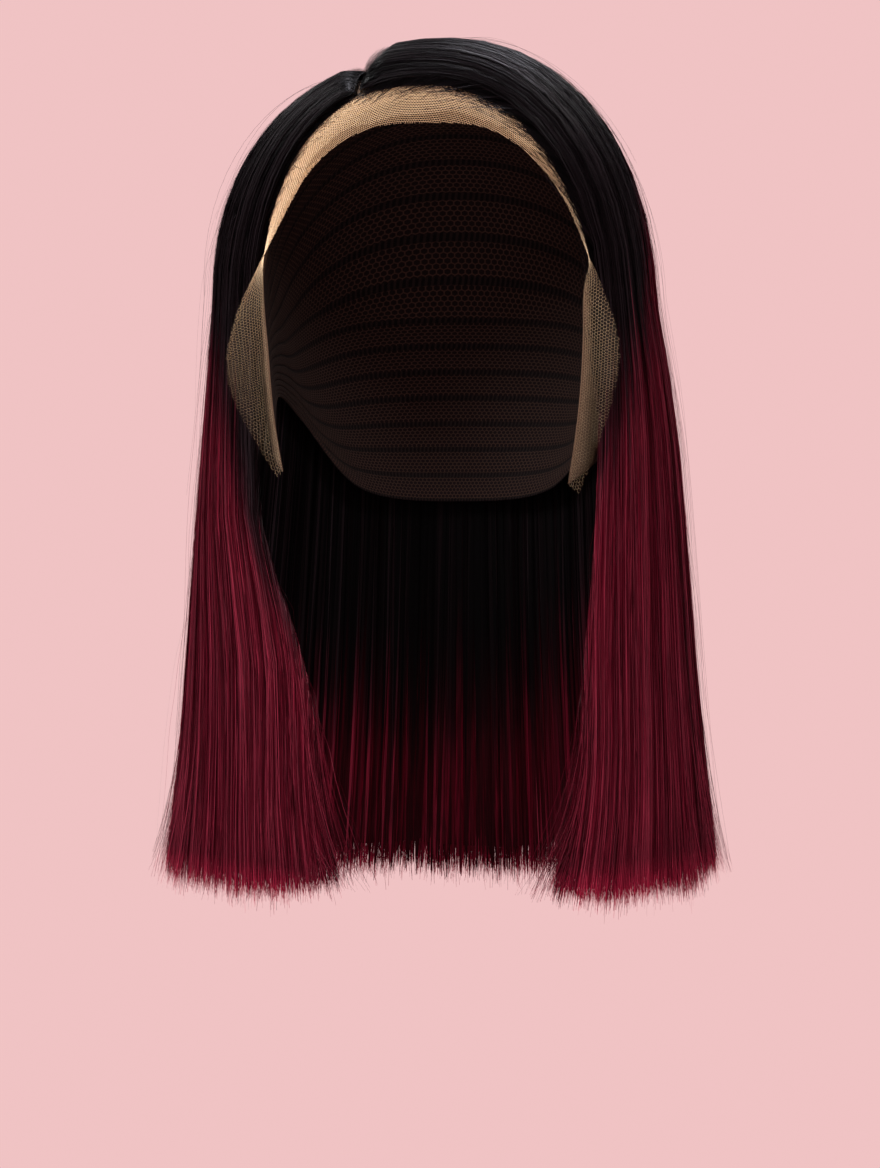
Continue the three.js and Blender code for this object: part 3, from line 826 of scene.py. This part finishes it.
def covering(count, start, end):
    """Ribbons that cover the outside of one section of hair."""
    tip = rng.permutation(spread(count, start, end))
    drift = rng.normal(0, 0.004, count)
    depth = rng.uniform(0.1, 2.4, count) * MM
    short = rng.normal(0.8, 2.0, count) * MM + np.abs(rng.normal(0, 1.6, count)) * MM
    points, out, turn, down = strand_lines(
        tip, starting(tip, 0.004), 2.0, LONG_STEPS, depth, drift, short, 0, 0.4 * MM,
        rng.uniform(0, 0.35, count),
    )
    layers = 4.8
    width = spacing(turn, down) * layers * (end - start) / count * rng.uniform(0.6, 1.4, (count, 1))
    width = width * (ease((2.0 - down) / 0.13) * 0.86 + 0.14)
    twist = rng.normal(0, 0.36, (count, 1)) + 0.16 * np.sin(down * 3 + rng.uniform(0, 6, (count, 1)))
    return ribbons(points, out, turn, down, width, twist, tone_of(tip))


def fine_strands(count, start, end):
    """Single thin strands lying on the outside."""
    tip = spread(count, start, end)
    begins = np.where(rng.uniform(0, 1, count) < 0.7, 0.006, rng.uniform(0.05, 0.9, count))
    points, out, turn, down = strand_lines(
        tip, starting(tip, begins), 2.0, LONG_STEPS, rng.uniform(-0.5, 0.7, count) * MM,
        rng.normal(0, 0.011, count),
        rng.normal(0.2, 2.8, count) * MM, 0, 0.6 * MM, rng.uniform(0, 0.4, count),
    )
    width = rng.uniform(0.15, 0.32, (count, 1)) * MM * mix(0.45, 1, ease(down * 1.6))
    width = width * (ease((2.01 - down) / 0.05) * 0.75 + 0.25)
    twist = rng.normal(0, 0.5, (count, 1)) + 0 * down
    lightness = 0.04 + 0.36 * (rng.uniform(0, 1, count) < 0.32)
    return ribbons(points, out, turn, down, width, twist, tone_of(tip, lightness), 0.25)


def inside_strands(count, start, end, first):
    """Ribbons on the inner side of the hair, drawn darker as painted shade."""
    tip = rng.permutation(spread(count, start, end))
    share = np.linspace(0, 1, INNER_STEPS)[None, :]
    down = mix(first, 2.0, share) + 0 * tip[:, None]
    hang = np.clip(down - 1, 0, 1)
    turn = np.clip(tip[:, None] + rng.normal(0, 0.004, (count, 1)) * (share - 0.5), 0.001, 0.999)
    outer, inner = hair_surface(turn, down)
    out = unit(inner - outer)
    points = inner + out * rng.uniform(0.0, 0.7, (count, 1, 1)) * MM
    points[..., 2] += (rng.normal(1.8, 2.8, (count, 1)) * MM + lock_end(turn)) * hang**4
    width = spacing(turn, down) * 3.2 * (end - start) / count * rng.uniform(0.6, 1.4, (count, 1))
    width = width * (ease((2.0 - down) / 0.13) * 0.86 + 0.14)
    twist = rng.normal(0, 0.3, (count, 1)) + 0 * down
    # Painted shade: a darker tone and a lower black for the inside strands.
    return ribbons(points, out, turn, down, width, twist, tone_of(tip, -0.34), 1.0, INNER_DYE_AND_PAINTED_SHADE)


def tip_fringe(count, start, end):
    """Cut ends through the whole thickness of the hair."""
    tip = spread(count, start, end)
    body = CURTAIN_BODY * mix(0.22, 1, ease(np.minimum(tip, 1 - tip) / 0.14))
    depth = rng.uniform(0, 1, count) ** 0.95 * body
    points, out, turn, down = strand_lines(
        tip, rng.uniform(1.84, 1.92, count), 2.0, TIP_STEPS, depth, rng.normal(0, 0.003, count),
        rng.normal(-0.2, 3.2, count) * MM, 0, 0.2 * MM, rng.uniform(0, 0.4, count),
    )
    splay = np.linspace(0, 1, TIP_STEPS)[None, :, None] ** 2 * rng.normal(0, 1.5, (count, 1, 3)) * MM
    width = rng.uniform(0.18, 0.42, (count, 1)) * MM * np.linspace(1, 0.3, TIP_STEPS)[None, :]
    twist = rng.uniform(-0.8, 0.8, (count, 1)) + 0 * down
    # Painted light: the cut ends take a lighter tone, standing in for light shining through them.
    return ribbons(points + splay, out, turn, down, width, twist, tone_of(tip, 0.2), 0.25)


def wisps(count, low, high, reach, lean=0.0):
    """Tips that fan out of the hair at a corner of the cut."""
    steps = CURVED_STEPS
    tip = rng.uniform(low, high, count)
    points, out, turn, down = strand_lines(
        tip, rng.uniform(1.5, 1.84, count), 2.0, steps, rng.uniform(0, 2.5, count) * MM,
        rng.normal(0, 0.004, count), rng.normal(0.5, 3, count) * MM, 0, 0.3 * MM,
    )
    way = unit(out + np.array([lean, 0, 0]))
    far = rng.uniform(0, 1, (count, 1)) ** 1.6 * reach * np.linspace(0, 1, steps)[None, :] ** 2.2
    width = rng.uniform(0.16, 0.34, (count, 1)) * MM * np.linspace(1, 0.35, steps)[None, :]
    twist = rng.uniform(-0.8, 0.8, (count, 1)) + 0 * down
    return ribbons(points + way * far[..., None], out, turn, down, width, twist, tone_of(tip, 0.15), 0.25)


def flyaways(count, lowest, stand):
    """Loose hairs that stand off the outline and out of the cut ends."""
    steps = FLYAWAY_STEPS
    tip = rng.uniform(0.02, 0.98, count)
    begin = rng.uniform(0.15, lowest, count)
    end = np.minimum(begin + rng.uniform(0.25, 1.2, count), 2.0)
    points, out, turn, down = strand_lines(
        tip, starting(tip, begin), end, steps, 0.2 * MM, rng.normal(0, 0.012, count),
        rng.normal(-1, 3, count) * MM, np.abs(rng.normal(0, stand, count)), 0.3 * stand,
    )
    curl = np.linspace(0, 1, steps)[None, :, None] ** 3 * rng.uniform(-0.4, 2.7, (count, 1, 1)) * stand
    width = 0.11 * MM * np.linspace(1, 0.5, steps)[None, :] * np.ones((count, 1))
    twist = rng.uniform(-1.5, 1.5, (count, 1)) + 0 * down
    return ribbons(points + out * curl, out, turn, down, width, twist, tone_of(tip), 0.25)


def bent(start, bend, end, share):
    """Points of curves from their starts, bent towards one point, to their ends."""
    start, bend, end = start[:, None], bend[:, None], end[:, None]
    return start * (1 - share) ** 2 + bend * 2 * share * (1 - share) + end * share**2


def hairline_strands(count, side, longest):
    """Hairs that leave the lace just ahead of the hairline and bend back into the hair."""
    steps = CURVED_STEPS
    edge = FRONT_LEFT if side == "left" else FRONT_RIGHT
    inward = 1 if side == "left" else -1
    down = rng.uniform(0.0, 1.08, count) ** 0.9
    at_edge = np.full(count, edge)
    outer, inner = hair_surface(at_edge, down)
    ahead = unit(outer - hair_surface(at_edge + inward * 0.012, down)[0])
    tufts = 0.35 + 0.9 * np.abs(np.sin(down * 37) * np.sin(down * 83 + 1))
    stray = np.abs(rng.normal(0, 1, count)) ** 1.5 * longest * tufts
    start = on_head(inner + ahead * stray[:, None], rng.uniform(0.75, 1.0, count) * MM)
    further = down + rng.uniform(0.06, 0.26, count)
    deeper = np.clip(at_edge + inward * rng.uniform(0.004, 0.05, count), FRONT_LEFT, FRONT_RIGHT)
    to_outer, to_inner = hair_surface(deeper, further)
    out = unit(to_outer - to_inner)
    end = to_outer + out * (rng.uniform(-0.6, 0.4, count) * MM)[:, None]
    low = on_head(mix(start, end, 0.4), rng.uniform(1.2, 3.2, count) * MM)
    share = np.linspace(0, 1, steps)[None, :, None]
    points = bent(start, low, end, share)
    width = rng.uniform(0.16, 0.32, (count, 1)) * MM * np.ones((1, steps))
    flat = np.zeros((count, steps))
    out = np.repeat(out[:, None], steps, axis=1)
    turns = flat + deeper[:, None]
    heights = mix(down[:, None], further[:, None], share[..., 0])
    return ribbons(points, out, turns, heights, width, flat, tone_of(deeper, -0.1), 0.25)


def part_roots(count):
    """Short hairs that rise from the lace at the part and bend over into the hair on each side."""
    steps = SHORT_STEPS
    side = rng.uniform(0, 1, count) < 0.42
    turn = np.where(side, rng.uniform(0.004, LEFT_ENDS, count), rng.uniform(RIGHT_STARTS, 0.996, count))
    whorl = rng.uniform(0, 1, count) < 0.16
    turn = np.where(whorl, rng.uniform(LEFT_ENDS, RIGHT_STARTS, count), turn)
    root = root_point(turn)
    middle = np.where(whorl[:, None], at_shares(**PART_END), root * [0, 1, 1])
    middle[:, 0] = np.where(whorl, middle[:, 0], root[:, 0] - np.where(turn < 0.5, -1, 1) * PART_WIDTH / 2)
    start = on_head(mix(middle, root, rng.uniform(0.6, 1.2, (count, 1))), 0.8 * MM)
    down = rng.uniform(0.035, 0.1, count)
    outer, inner = hair_surface(turn, down)
    out = unit(outer - inner)
    end = outer + out * (rng.uniform(-0.5, 0.25, count) * MM)[:, None]
    bend = mix(start, end, 0.3) + out * (0.4 * np.linalg.norm(end - start, axis=1))[:, None]
    share = np.linspace(0, 1, steps)[None, :, None]
    points = bent(start, bend, end, share)
    width = rng.uniform(0.14, 0.3, (count, 1)) * MM * np.ones((1, steps))
    flat = np.zeros((count, steps))
    out = np.repeat(out[:, None], steps, axis=1)
    return ribbons(points, out, flat + turn[:, None], flat + 0.02, width, flat, tone_of(turn, -0.3), 0.25)


def baby_hairs(count, start, end):
    """Short fine hairs knotted in the lace at the hairline: some sweep back in, some end ahead of it."""
    steps = SHORT_STEPS
    share = np.linspace(0, 1, steps)[None, :]
    begins = rng.uniform(start, end, count)[:, None]
    way = 1 if end > 0.45 else -1
    along = begins + way * rng.uniform(0.008, 0.036, (count, 1)) * share**0.8
    ahead = 0.02 + np.abs(rng.normal(0, 0.07, (count, 1)))
    swept = ahead * (1 - 0.6 * share) - rng.uniform(0.01, 0.07, (count, 1)) * share**1.6
    loose = ahead * (1.2 * share**1.3) - 0.02
    row = np.interp(along, HAIR_EDGE["along"], HAIR_EDGE["row"])
    across = np.minimum(row + np.where(rng.uniform(0, 1, (count, 1)) < 0.55, loose, swept), 0.99)
    lift = 0.75 * MM + (0.2 + 1.7 * share**1.5) * MM * rng.uniform(0.5, 1.2, (count, 1))
    points = lace_surface(along, across, lift)
    out = unit(points - CENTRE)
    width = rng.uniform(0.18, 0.34, (count, 1)) * MM * (1 - 0.6 * share)
    flat = np.zeros((count, steps))
    turn = np.full((count, steps), 0.002)
    return ribbons(points, out, turn, flat + 0.02, width, flat, np.full(count, 8), 0.25)


def lace_knots(count):
    """Tiny dark knots where single hairs are tied into the lace."""
    along = rng.uniform(0.3, 0.72, count)
    across = np.interp(along, HAIR_EDGE["along"], HAIR_EDGE["row"]) + np.abs(rng.normal(0, 0.07, count))
    middle = lace_surface(along, np.minimum(across, 0.95), 0.75 * MM)
    radius = rng.uniform(0.12, 0.24, (count, 1, 1)) * MM
    ring = np.array([[1, 0, 0], [0, 1, 0], [-1, 0, 0], [0, -1, 0], [0, 0, 1], [0, 0, -1]])
    points = (middle[:, None] + ring * radius).reshape(-1, 3)
    sides = [(0, 1, 4), (1, 2, 4), (2, 3, 4), (3, 0, 4), (1, 0, 5), (2, 1, 5), (3, 2, 5), (0, 3, 5)]
    faces = (np.arange(count)[:, None, None] * 6 + np.array(sides)).reshape(-1, 3)
    maps = np.broadcast_to([0.1, 0.05], (faces.size, 2)) + 0.001 * rng.uniform(0, 1, (faces.size, 2))
    return mesh_piece("lace_knots", points, faces, [HAIR], {"OFBake": maps})


def build_hair():
    names = ["hair_left", "hair_back", "hair_right"]
    weights = [0.36, 0.28, 0.36]
    for name, (start, end, locks), weight in zip(names, LOCKS, weights):
        mass = hair_mass(name + "_mass", start, end, locks)
        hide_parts(name)
        strand_piece(name + "_locks", [covering(int(BROAD_STRANDS * weight), start, end)])
        strand_piece(name + "_strands", [fine_strands(int(FINE_STRANDS * weight), start, end)])
        inner = inside_strands(int(INNER_STRANDS * weight), start + 0.002, end - 0.002, 0.97)
        strand_piece(name + "_inside", [inner, tip_fringe(int(CUT_TIPS * weight), start, end)])
    loose = [(330, 1.7, 2.4 * MM), (160, 1.9, 2.4 * MM), (700, 1.6, 0.8 * MM)]
    strand_piece("flyaways", [flyaways(count, lowest, stand) for count, lowest, stand in loose])
    fans = [wisps(200, 0, 0.035, 20 * MM, 3), wisps(200, 0.965, 1, 18 * MM, -3)]
    fans += [wisps(260, 0.15, 0.3, 9 * MM), wisps(260, 0.7, 0.85, 9 * MM), wisps(220, 0.3, 0.7, 4 * MM)]
    strand_piece("wisps", fans)
    edges = [hairline_strands(700, "left", 1.1 * MM), hairline_strands(1300, "right", 4.4 * MM)]
    fine = [baby_hairs(480, 0.43, 0.7), baby_hairs(150, 0.33, 0.432)]
    strand_piece("hairline", edges + fine + [part_roots(1500)])
    lace_knots(240)


# Lace

class Margin:
    """The lace in front of the hairline, by the length along the hairline and the way out from it."""

    def __init__(self):
        self.along = np.linspace(0, 1, 500)
        line = lace_surface(self.along, HAIRLINE_ROW + 0 * self.along)
        self.length = np.concatenate([[0], np.cumsum(np.linalg.norm(np.diff(line, axis=0), axis=1))])
        across = np.linspace(HAIRLINE_ROW, 1, 24)[None, :]
        sheet = lace_surface(*np.broadcast_arrays(self.along[:, None], across))
        self.width = np.linalg.norm(np.diff(sheet, axis=1), axis=2).sum(1)

    def breadth(self, a):
        return np.interp(a, self.length, self.width)

    def flap(self, a):
        """1 on the two flaps, 0 between them."""
        place = np.interp(a, self.length, self.along)
        return ease((0.34 - np.minimum(place, 1 - place)) / 0.08)

    def tip(self, a):
        """1 at the lower ends of the flaps, 0 from halfway up."""
        return ease((0.085 - np.minimum(a, self.length[-1] - a)) / 0.06)

    def edge(self, a):
        """Where the cut edge is: a little uneven, and pinked low on the right flap."""
        uneven = 0.25 * MM * (np.sin(a * 900) + np.sin(a * 2300 + 1))
        pinked = np.abs((a / (3.2 * MM)) % 1 - 0.5) * 2.4 * MM
        from_end = self.length[-1] - a
        here = ease((from_end - 0.03) / 0.01) * ease((0.075 - from_end) / 0.01)
        return self.breadth(a) + uneven - pinked * here

    def place(self, a, w, lift):
        along = np.interp(a, self.length, self.along)
        out = w / np.maximum(self.breadth(a), 1e-4)
        return lace_surface(along, HAIRLINE_ROW + (1 - HAIRLINE_ROW) * out, lift)


def net_edges(low_a, high_a, low_w, high_w, turned=0.0):
    """Ends of the threads of a six-sided net over a flat stretch."""
    side = NET_PITCH / math.sqrt(3)
    rows = NET_PITCH * math.sqrt(3) / 2
    reach = 0.02 if turned else 0.0
    i = np.arange(-2, int((high_a - low_a + 2 * reach) / NET_PITCH) + 3)
    j = np.arange(-2, int((high_w - low_w + 2 * reach) / rows) + 3)
    grid_i, grid_j = np.meshgrid(i, j, indexing="ij")
    centre = np.stack([(grid_i + 0.5 * (grid_j % 2)) * NET_PITCH - reach, grid_j * rows - reach], axis=-1)
    angle = np.radians(30 + 60 * np.arange(4))
    corner = centre[..., None, :] + side * np.stack([np.cos(angle), np.sin(angle)], axis=-1)
    ends = np.stack([corner[..., :3, :], corner[..., 1:, :]], axis=-2).reshape(-1, 2, 2)
    if turned:
        c, s = math.cos(turned), math.sin(turned)
        ends = ends @ np.array([[c, s], [-s, c]])
    return ends + np.array([low_a, low_w])


def clip_threads(ends, low, high):
    """Cuts threads where they pass the lower or the cut edge."""
    for limit, keep_below in ((high, True), (low, False)):
        w = ends[..., 1]
        bound = limit(ends[..., 0])
        inside = w <= bound if keep_below else w >= bound
        keep = inside.any(axis=1)
        ends, w, bound, inside = ends[keep], w[keep], bound[keep], inside[keep]
        crossing = inside.sum(axis=1) == 1
        gap = w - bound
        fall_off = gap[:, 0] - gap[:, 1]
        share = np.clip(gap[:, 0] / np.where(np.abs(fall_off) < 1e-9, 1e-9, fall_off), 0, 1)
        cut = mix(ends[:, 0], ends[:, 1], share[:, None])
        first_out = crossing & ~inside[:, 0]
        last_out = crossing & ~inside[:, 1]
        ends[first_out, 0] = cut[first_out]
        ends[last_out, 1] = cut[last_out]
    return ends


def threads(margin, ends, lift):
    """Three-sided threads between the ends, lying on the lace."""
    a, w = ends[..., 0], ends[..., 1]
    points = margin.place(a, w, lift)
    step = 0.2 * MM
    out = unit(np.cross(margin.place(a + step, w, lift) - points, margin.place(a, w + step, lift) - points))
    away = points - (CENTRE + np.array([0, 0.03, 0]))
    out = out * np.where((out * away).sum(-1) < 0, -1, 1)[..., None]
    along = unit(points[:, 1] - points[:, 0])[:, None, :]
    side = unit(np.cross(along, out))
    flap = margin.flap(a)[..., None]
    finer = 1 - TIP_FINER * margin.tip(a)[..., None]
    half = side * mix(THREAD_WIDTH, FLAP_WIDTH, flap) * finer / 2
    rise = out * mix(THREAD_HEIGHT, FLAP_HEIGHT, flap) * finer / 2
    rows = [points - half - rise, points + half - rise, points + rise]
    verts = np.stack(rows, axis=2).reshape(-1, 3)
    base = np.arange(len(ends))[:, None] * 6
    a_ring, b_ring = base + np.arange(3), base + 3 + np.arange(3)
    faces = np.stack([a_ring, np.roll(a_ring, -1, 1), np.roll(b_ring, -1, 1), b_ring], axis=-1).reshape(-1, 4)
    return verts, faces


def build_lace():
    margin = Margin()
    long, wide = margin.length[-1], margin.width.max()
    low_edge = lambda a: 0 * a - UNDER_HAIR
    flat = net_edges(0, long, -UNDER_HAIR, wide)
    flat = flat[(flat[..., 0].min(1) > 0) & (flat[..., 0].max(1) < long)]
    flat = clip_threads(flat, low_edge, margin.edge)
    single = threads(margin, flat, LACE_LIFT)
    band = net_edges(0, long, 0, wide, 0.35)
    band = band[(band[..., 0].min(1) > 0.05) & (band[..., 0].max(1) < long - 0.05)]
    ripple = lambda a: 1 + 0.3 * np.sin(a * 95) + 0.15 * np.sin(a * 230 + 2)
    wavy = lambda a: margin.edge(a) - FOLD_WIDTH * ripple(a) * (1 - 0.6 * margin.flap(a))
    band = clip_threads(band, wavy, margin.edge)
    double = threads(margin, band, FOLD_LIFT)
    points = np.concatenate([single[0], double[0]])
    faces = np.concatenate([single[1], double[1] + len(single[0])])
    net = mesh_piece("lace_net", points, faces, [LACE_THREAD, LACE_FOLD], smooth=False)
    in_fold = flat[..., 1].mean(axis=1) > wavy(flat[..., 0].mean(axis=1))
    folded = np.concatenate([np.repeat(in_fold, 3), np.ones(len(double[1]), bool)])
    net.data.polygons.foreach_set("material_index", folded.astype(np.int32))
    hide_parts("lace_front")
    under_lace()
    steps = np.diff(margin.length)
    area = float((steps * (margin.width[1:] + margin.width[:-1]) / 2).sum()) + UNDER_HAIR * long
    area = min(area, long * (wide + UNDER_HAIR))


def cloth_piece(name, surface, columns, rows, wall, material):
    """A cloth piece worked up from a grid: laid on its surface, given a wall and smoothed."""
    bpy.ops.object.select_all(action="DESELECT")
    bpy.ops.mesh.primitive_grid_add(x_subdivisions=columns, y_subdivisions=rows, size=2)
    piece = bpy.context.object
    piece.name = name
    piece.data.name = name
    for layer in list(piece.data.uv_layers):
        piece.data.uv_layers.remove(layer)
    flat = np.zeros(len(piece.data.vertices) * 3, np.float32)
    piece.data.vertices.foreach_get("co", flat)
    flat = flat.reshape(-1, 3).astype(float)
    points, cloth = surface((flat[:, 0] + 1) / 2, (flat[:, 1] + 1) / 2)
    piece.data.vertices.foreach_set("co", points.astype(np.float32).ravel())
    corners = np.zeros(len(piece.data.loops), np.int32)
    piece.data.loops.foreach_get("vertex_index", corners)
    layer = piece.data.uv_layers.new(name="cloth")
    layer.data.foreach_set("uv", cloth[corners].astype(np.float32).ravel())
    piece.data.materials.append(material)
    thick = piece.modifiers.new("wall", "SOLIDIFY")
    thick.thickness = wall
    thick.offset = 0
    bpy.ops.object.modifier_apply(modifier="wall")
    bpy.ops.object.shade_smooth()
    face_outwards(piece)
    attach(piece, "root")
    return piece


def under_lace():
    """The lace that carries the hair behind the hairline."""

    def surface(along, across):
        points = lace_surface(along, across * (HAIRLINE_ROW + 0.03), 0.5 * MM + 0 * along)
        return points, np.stack([along * 0.5, across * 0.11], axis=-1)

    under = cloth_piece("lace_under", surface, 150, 40, 0.35 * MM, LACE_UNDER)
    return under


def build_cap():
    """Stretch cap with rows of wefts, from the lace seam to the nape."""

    def surface(along, across):
        seam = lace_surface(along, 0 * along)
        inside = lace_surface(along, 0.02 + 0 * along)
        seam = seam + unit(seam - inside) * 0.7 * MM
        edge = stack(
            read(CAP_EDGE, "along", along, "x") * CAP_HALF_WIDTH,
            read(CAP_EDGE, "along", along, "y") * CAP_HALF_LENGTH,
            read(CAP_EDGE, "along", along, "z") * CAP_DEPTH,
        )
        rows = np.abs(np.sin(across * WEFT_ROWS * math.pi))
        hem = ease(1 - across / 0.02) + ease((across - 0.975) / 0.015)
        lift = 0.35 * MM + 0.75 * MM * np.maximum((1 - rows) ** 2, np.minimum(hem, 1))
        points = on_head(mix(seam, edge, across[..., None]), lift)
        return points, np.stack([along * 0.42, across * 0.2], axis=-1)

    cap = cloth_piece("cap_net", surface, 96, 120, 0.5 * MM, CAP_NET)
    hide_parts("cap")


# Stage

def build_stage():
    """A plain pale backdrop all round, out of the lamps' reach."""
    bpy.ops.object.select_all(action="DESELECT")
    bpy.ops.mesh.primitive_uv_sphere_add(segments=64, ring_count=32, radius=BACKDROP_RADIUS)
    bpy.ops.object.shade_smooth()
    backdrop = bpy.context.object
    backdrop.name = "backdrop"
    material, _, _, shader = new_material("backdrop_paper", Roughness=1.0, Specular_IOR_Level=0.0)
    shader.inputs["Base Color"].default_value = (0, 0, 0, 1)
    shader.inputs["Emission Color"].default_value = (*BACKDROP, 1)
    shader.inputs["Emission Strength"].default_value = 1.0
    backdrop.data.materials.append(material)
    backdrop.visible_glossy = False


def area_light(name, place, aim, size, power, colour=(1, 1, 1)):
    data = bpy.data.lights.new(name, "AREA")
    data.shape = "DISK"
    data.size = size
    data.energy = power
    data.color = colour
    light = bpy.data.objects.new(name, data)
    light.location = place
    light.rotation_euler = (Vector(aim) - Vector(place)).to_track_quat("-Z", "Y").to_euler()
    bpy.context.collection.objects.link(light)


def build_lights():
    middle = (0, 0, -0.16)
    area_light("key", (-0.85, -1.42, 1.0), middle, 0.9, 27)
    area_light("left", (-1.5, -0.8, 1.0), middle, 0.9, 9)
    area_light("fill", (1.0, -1.5, 1.3), middle, 1.0, 31)
    area_light("crown", (0.32, 0.55, 1.28), (0, 0, 0), 0.9, 31, (0.92, 0.9, 1))
    area_light("back_left", (-1.0, 1.2, 1.3), middle, 0.9, 9)
    area_light("back_right", (1.0, 1.2, 1.3), middle, 0.9, 9)
    world = bpy.data.worlds.new("studio")
    world.use_nodes = True
    world.node_tree.nodes["Background"].inputs["Color"].default_value = (0.9, 0.85, 0.9, 1)
    world.node_tree.nodes["Background"].inputs["Strength"].default_value = 0.15
    bpy.context.scene.world = world
    bpy.context.scene.view_settings.view_transform = "Standard"


def build_camera():
    data = bpy.data.cameras.new("camera")
    data.sensor_width = 36
    data.lens = 36 * CAMERA_DISTANCE / FRAME_HEIGHT
    camera = bpy.data.objects.new("camera", data)
    aim = Vector((0, 0, FRAME_MIDDLE))
    away = Vector((math.sin(CAMERA_TURN), -math.cos(CAMERA_TURN), 0))
    camera.location = aim + away * CAMERA_DISTANCE
    camera.rotation_euler = (-away).to_track_quat("-Z", "Y").to_euler()
    bpy.context.collection.objects.link(camera)
    bpy.context.scene.camera = camera


build_camera()
build_hair()
build_lace()
build_cap()
build_stage()
build_lights()
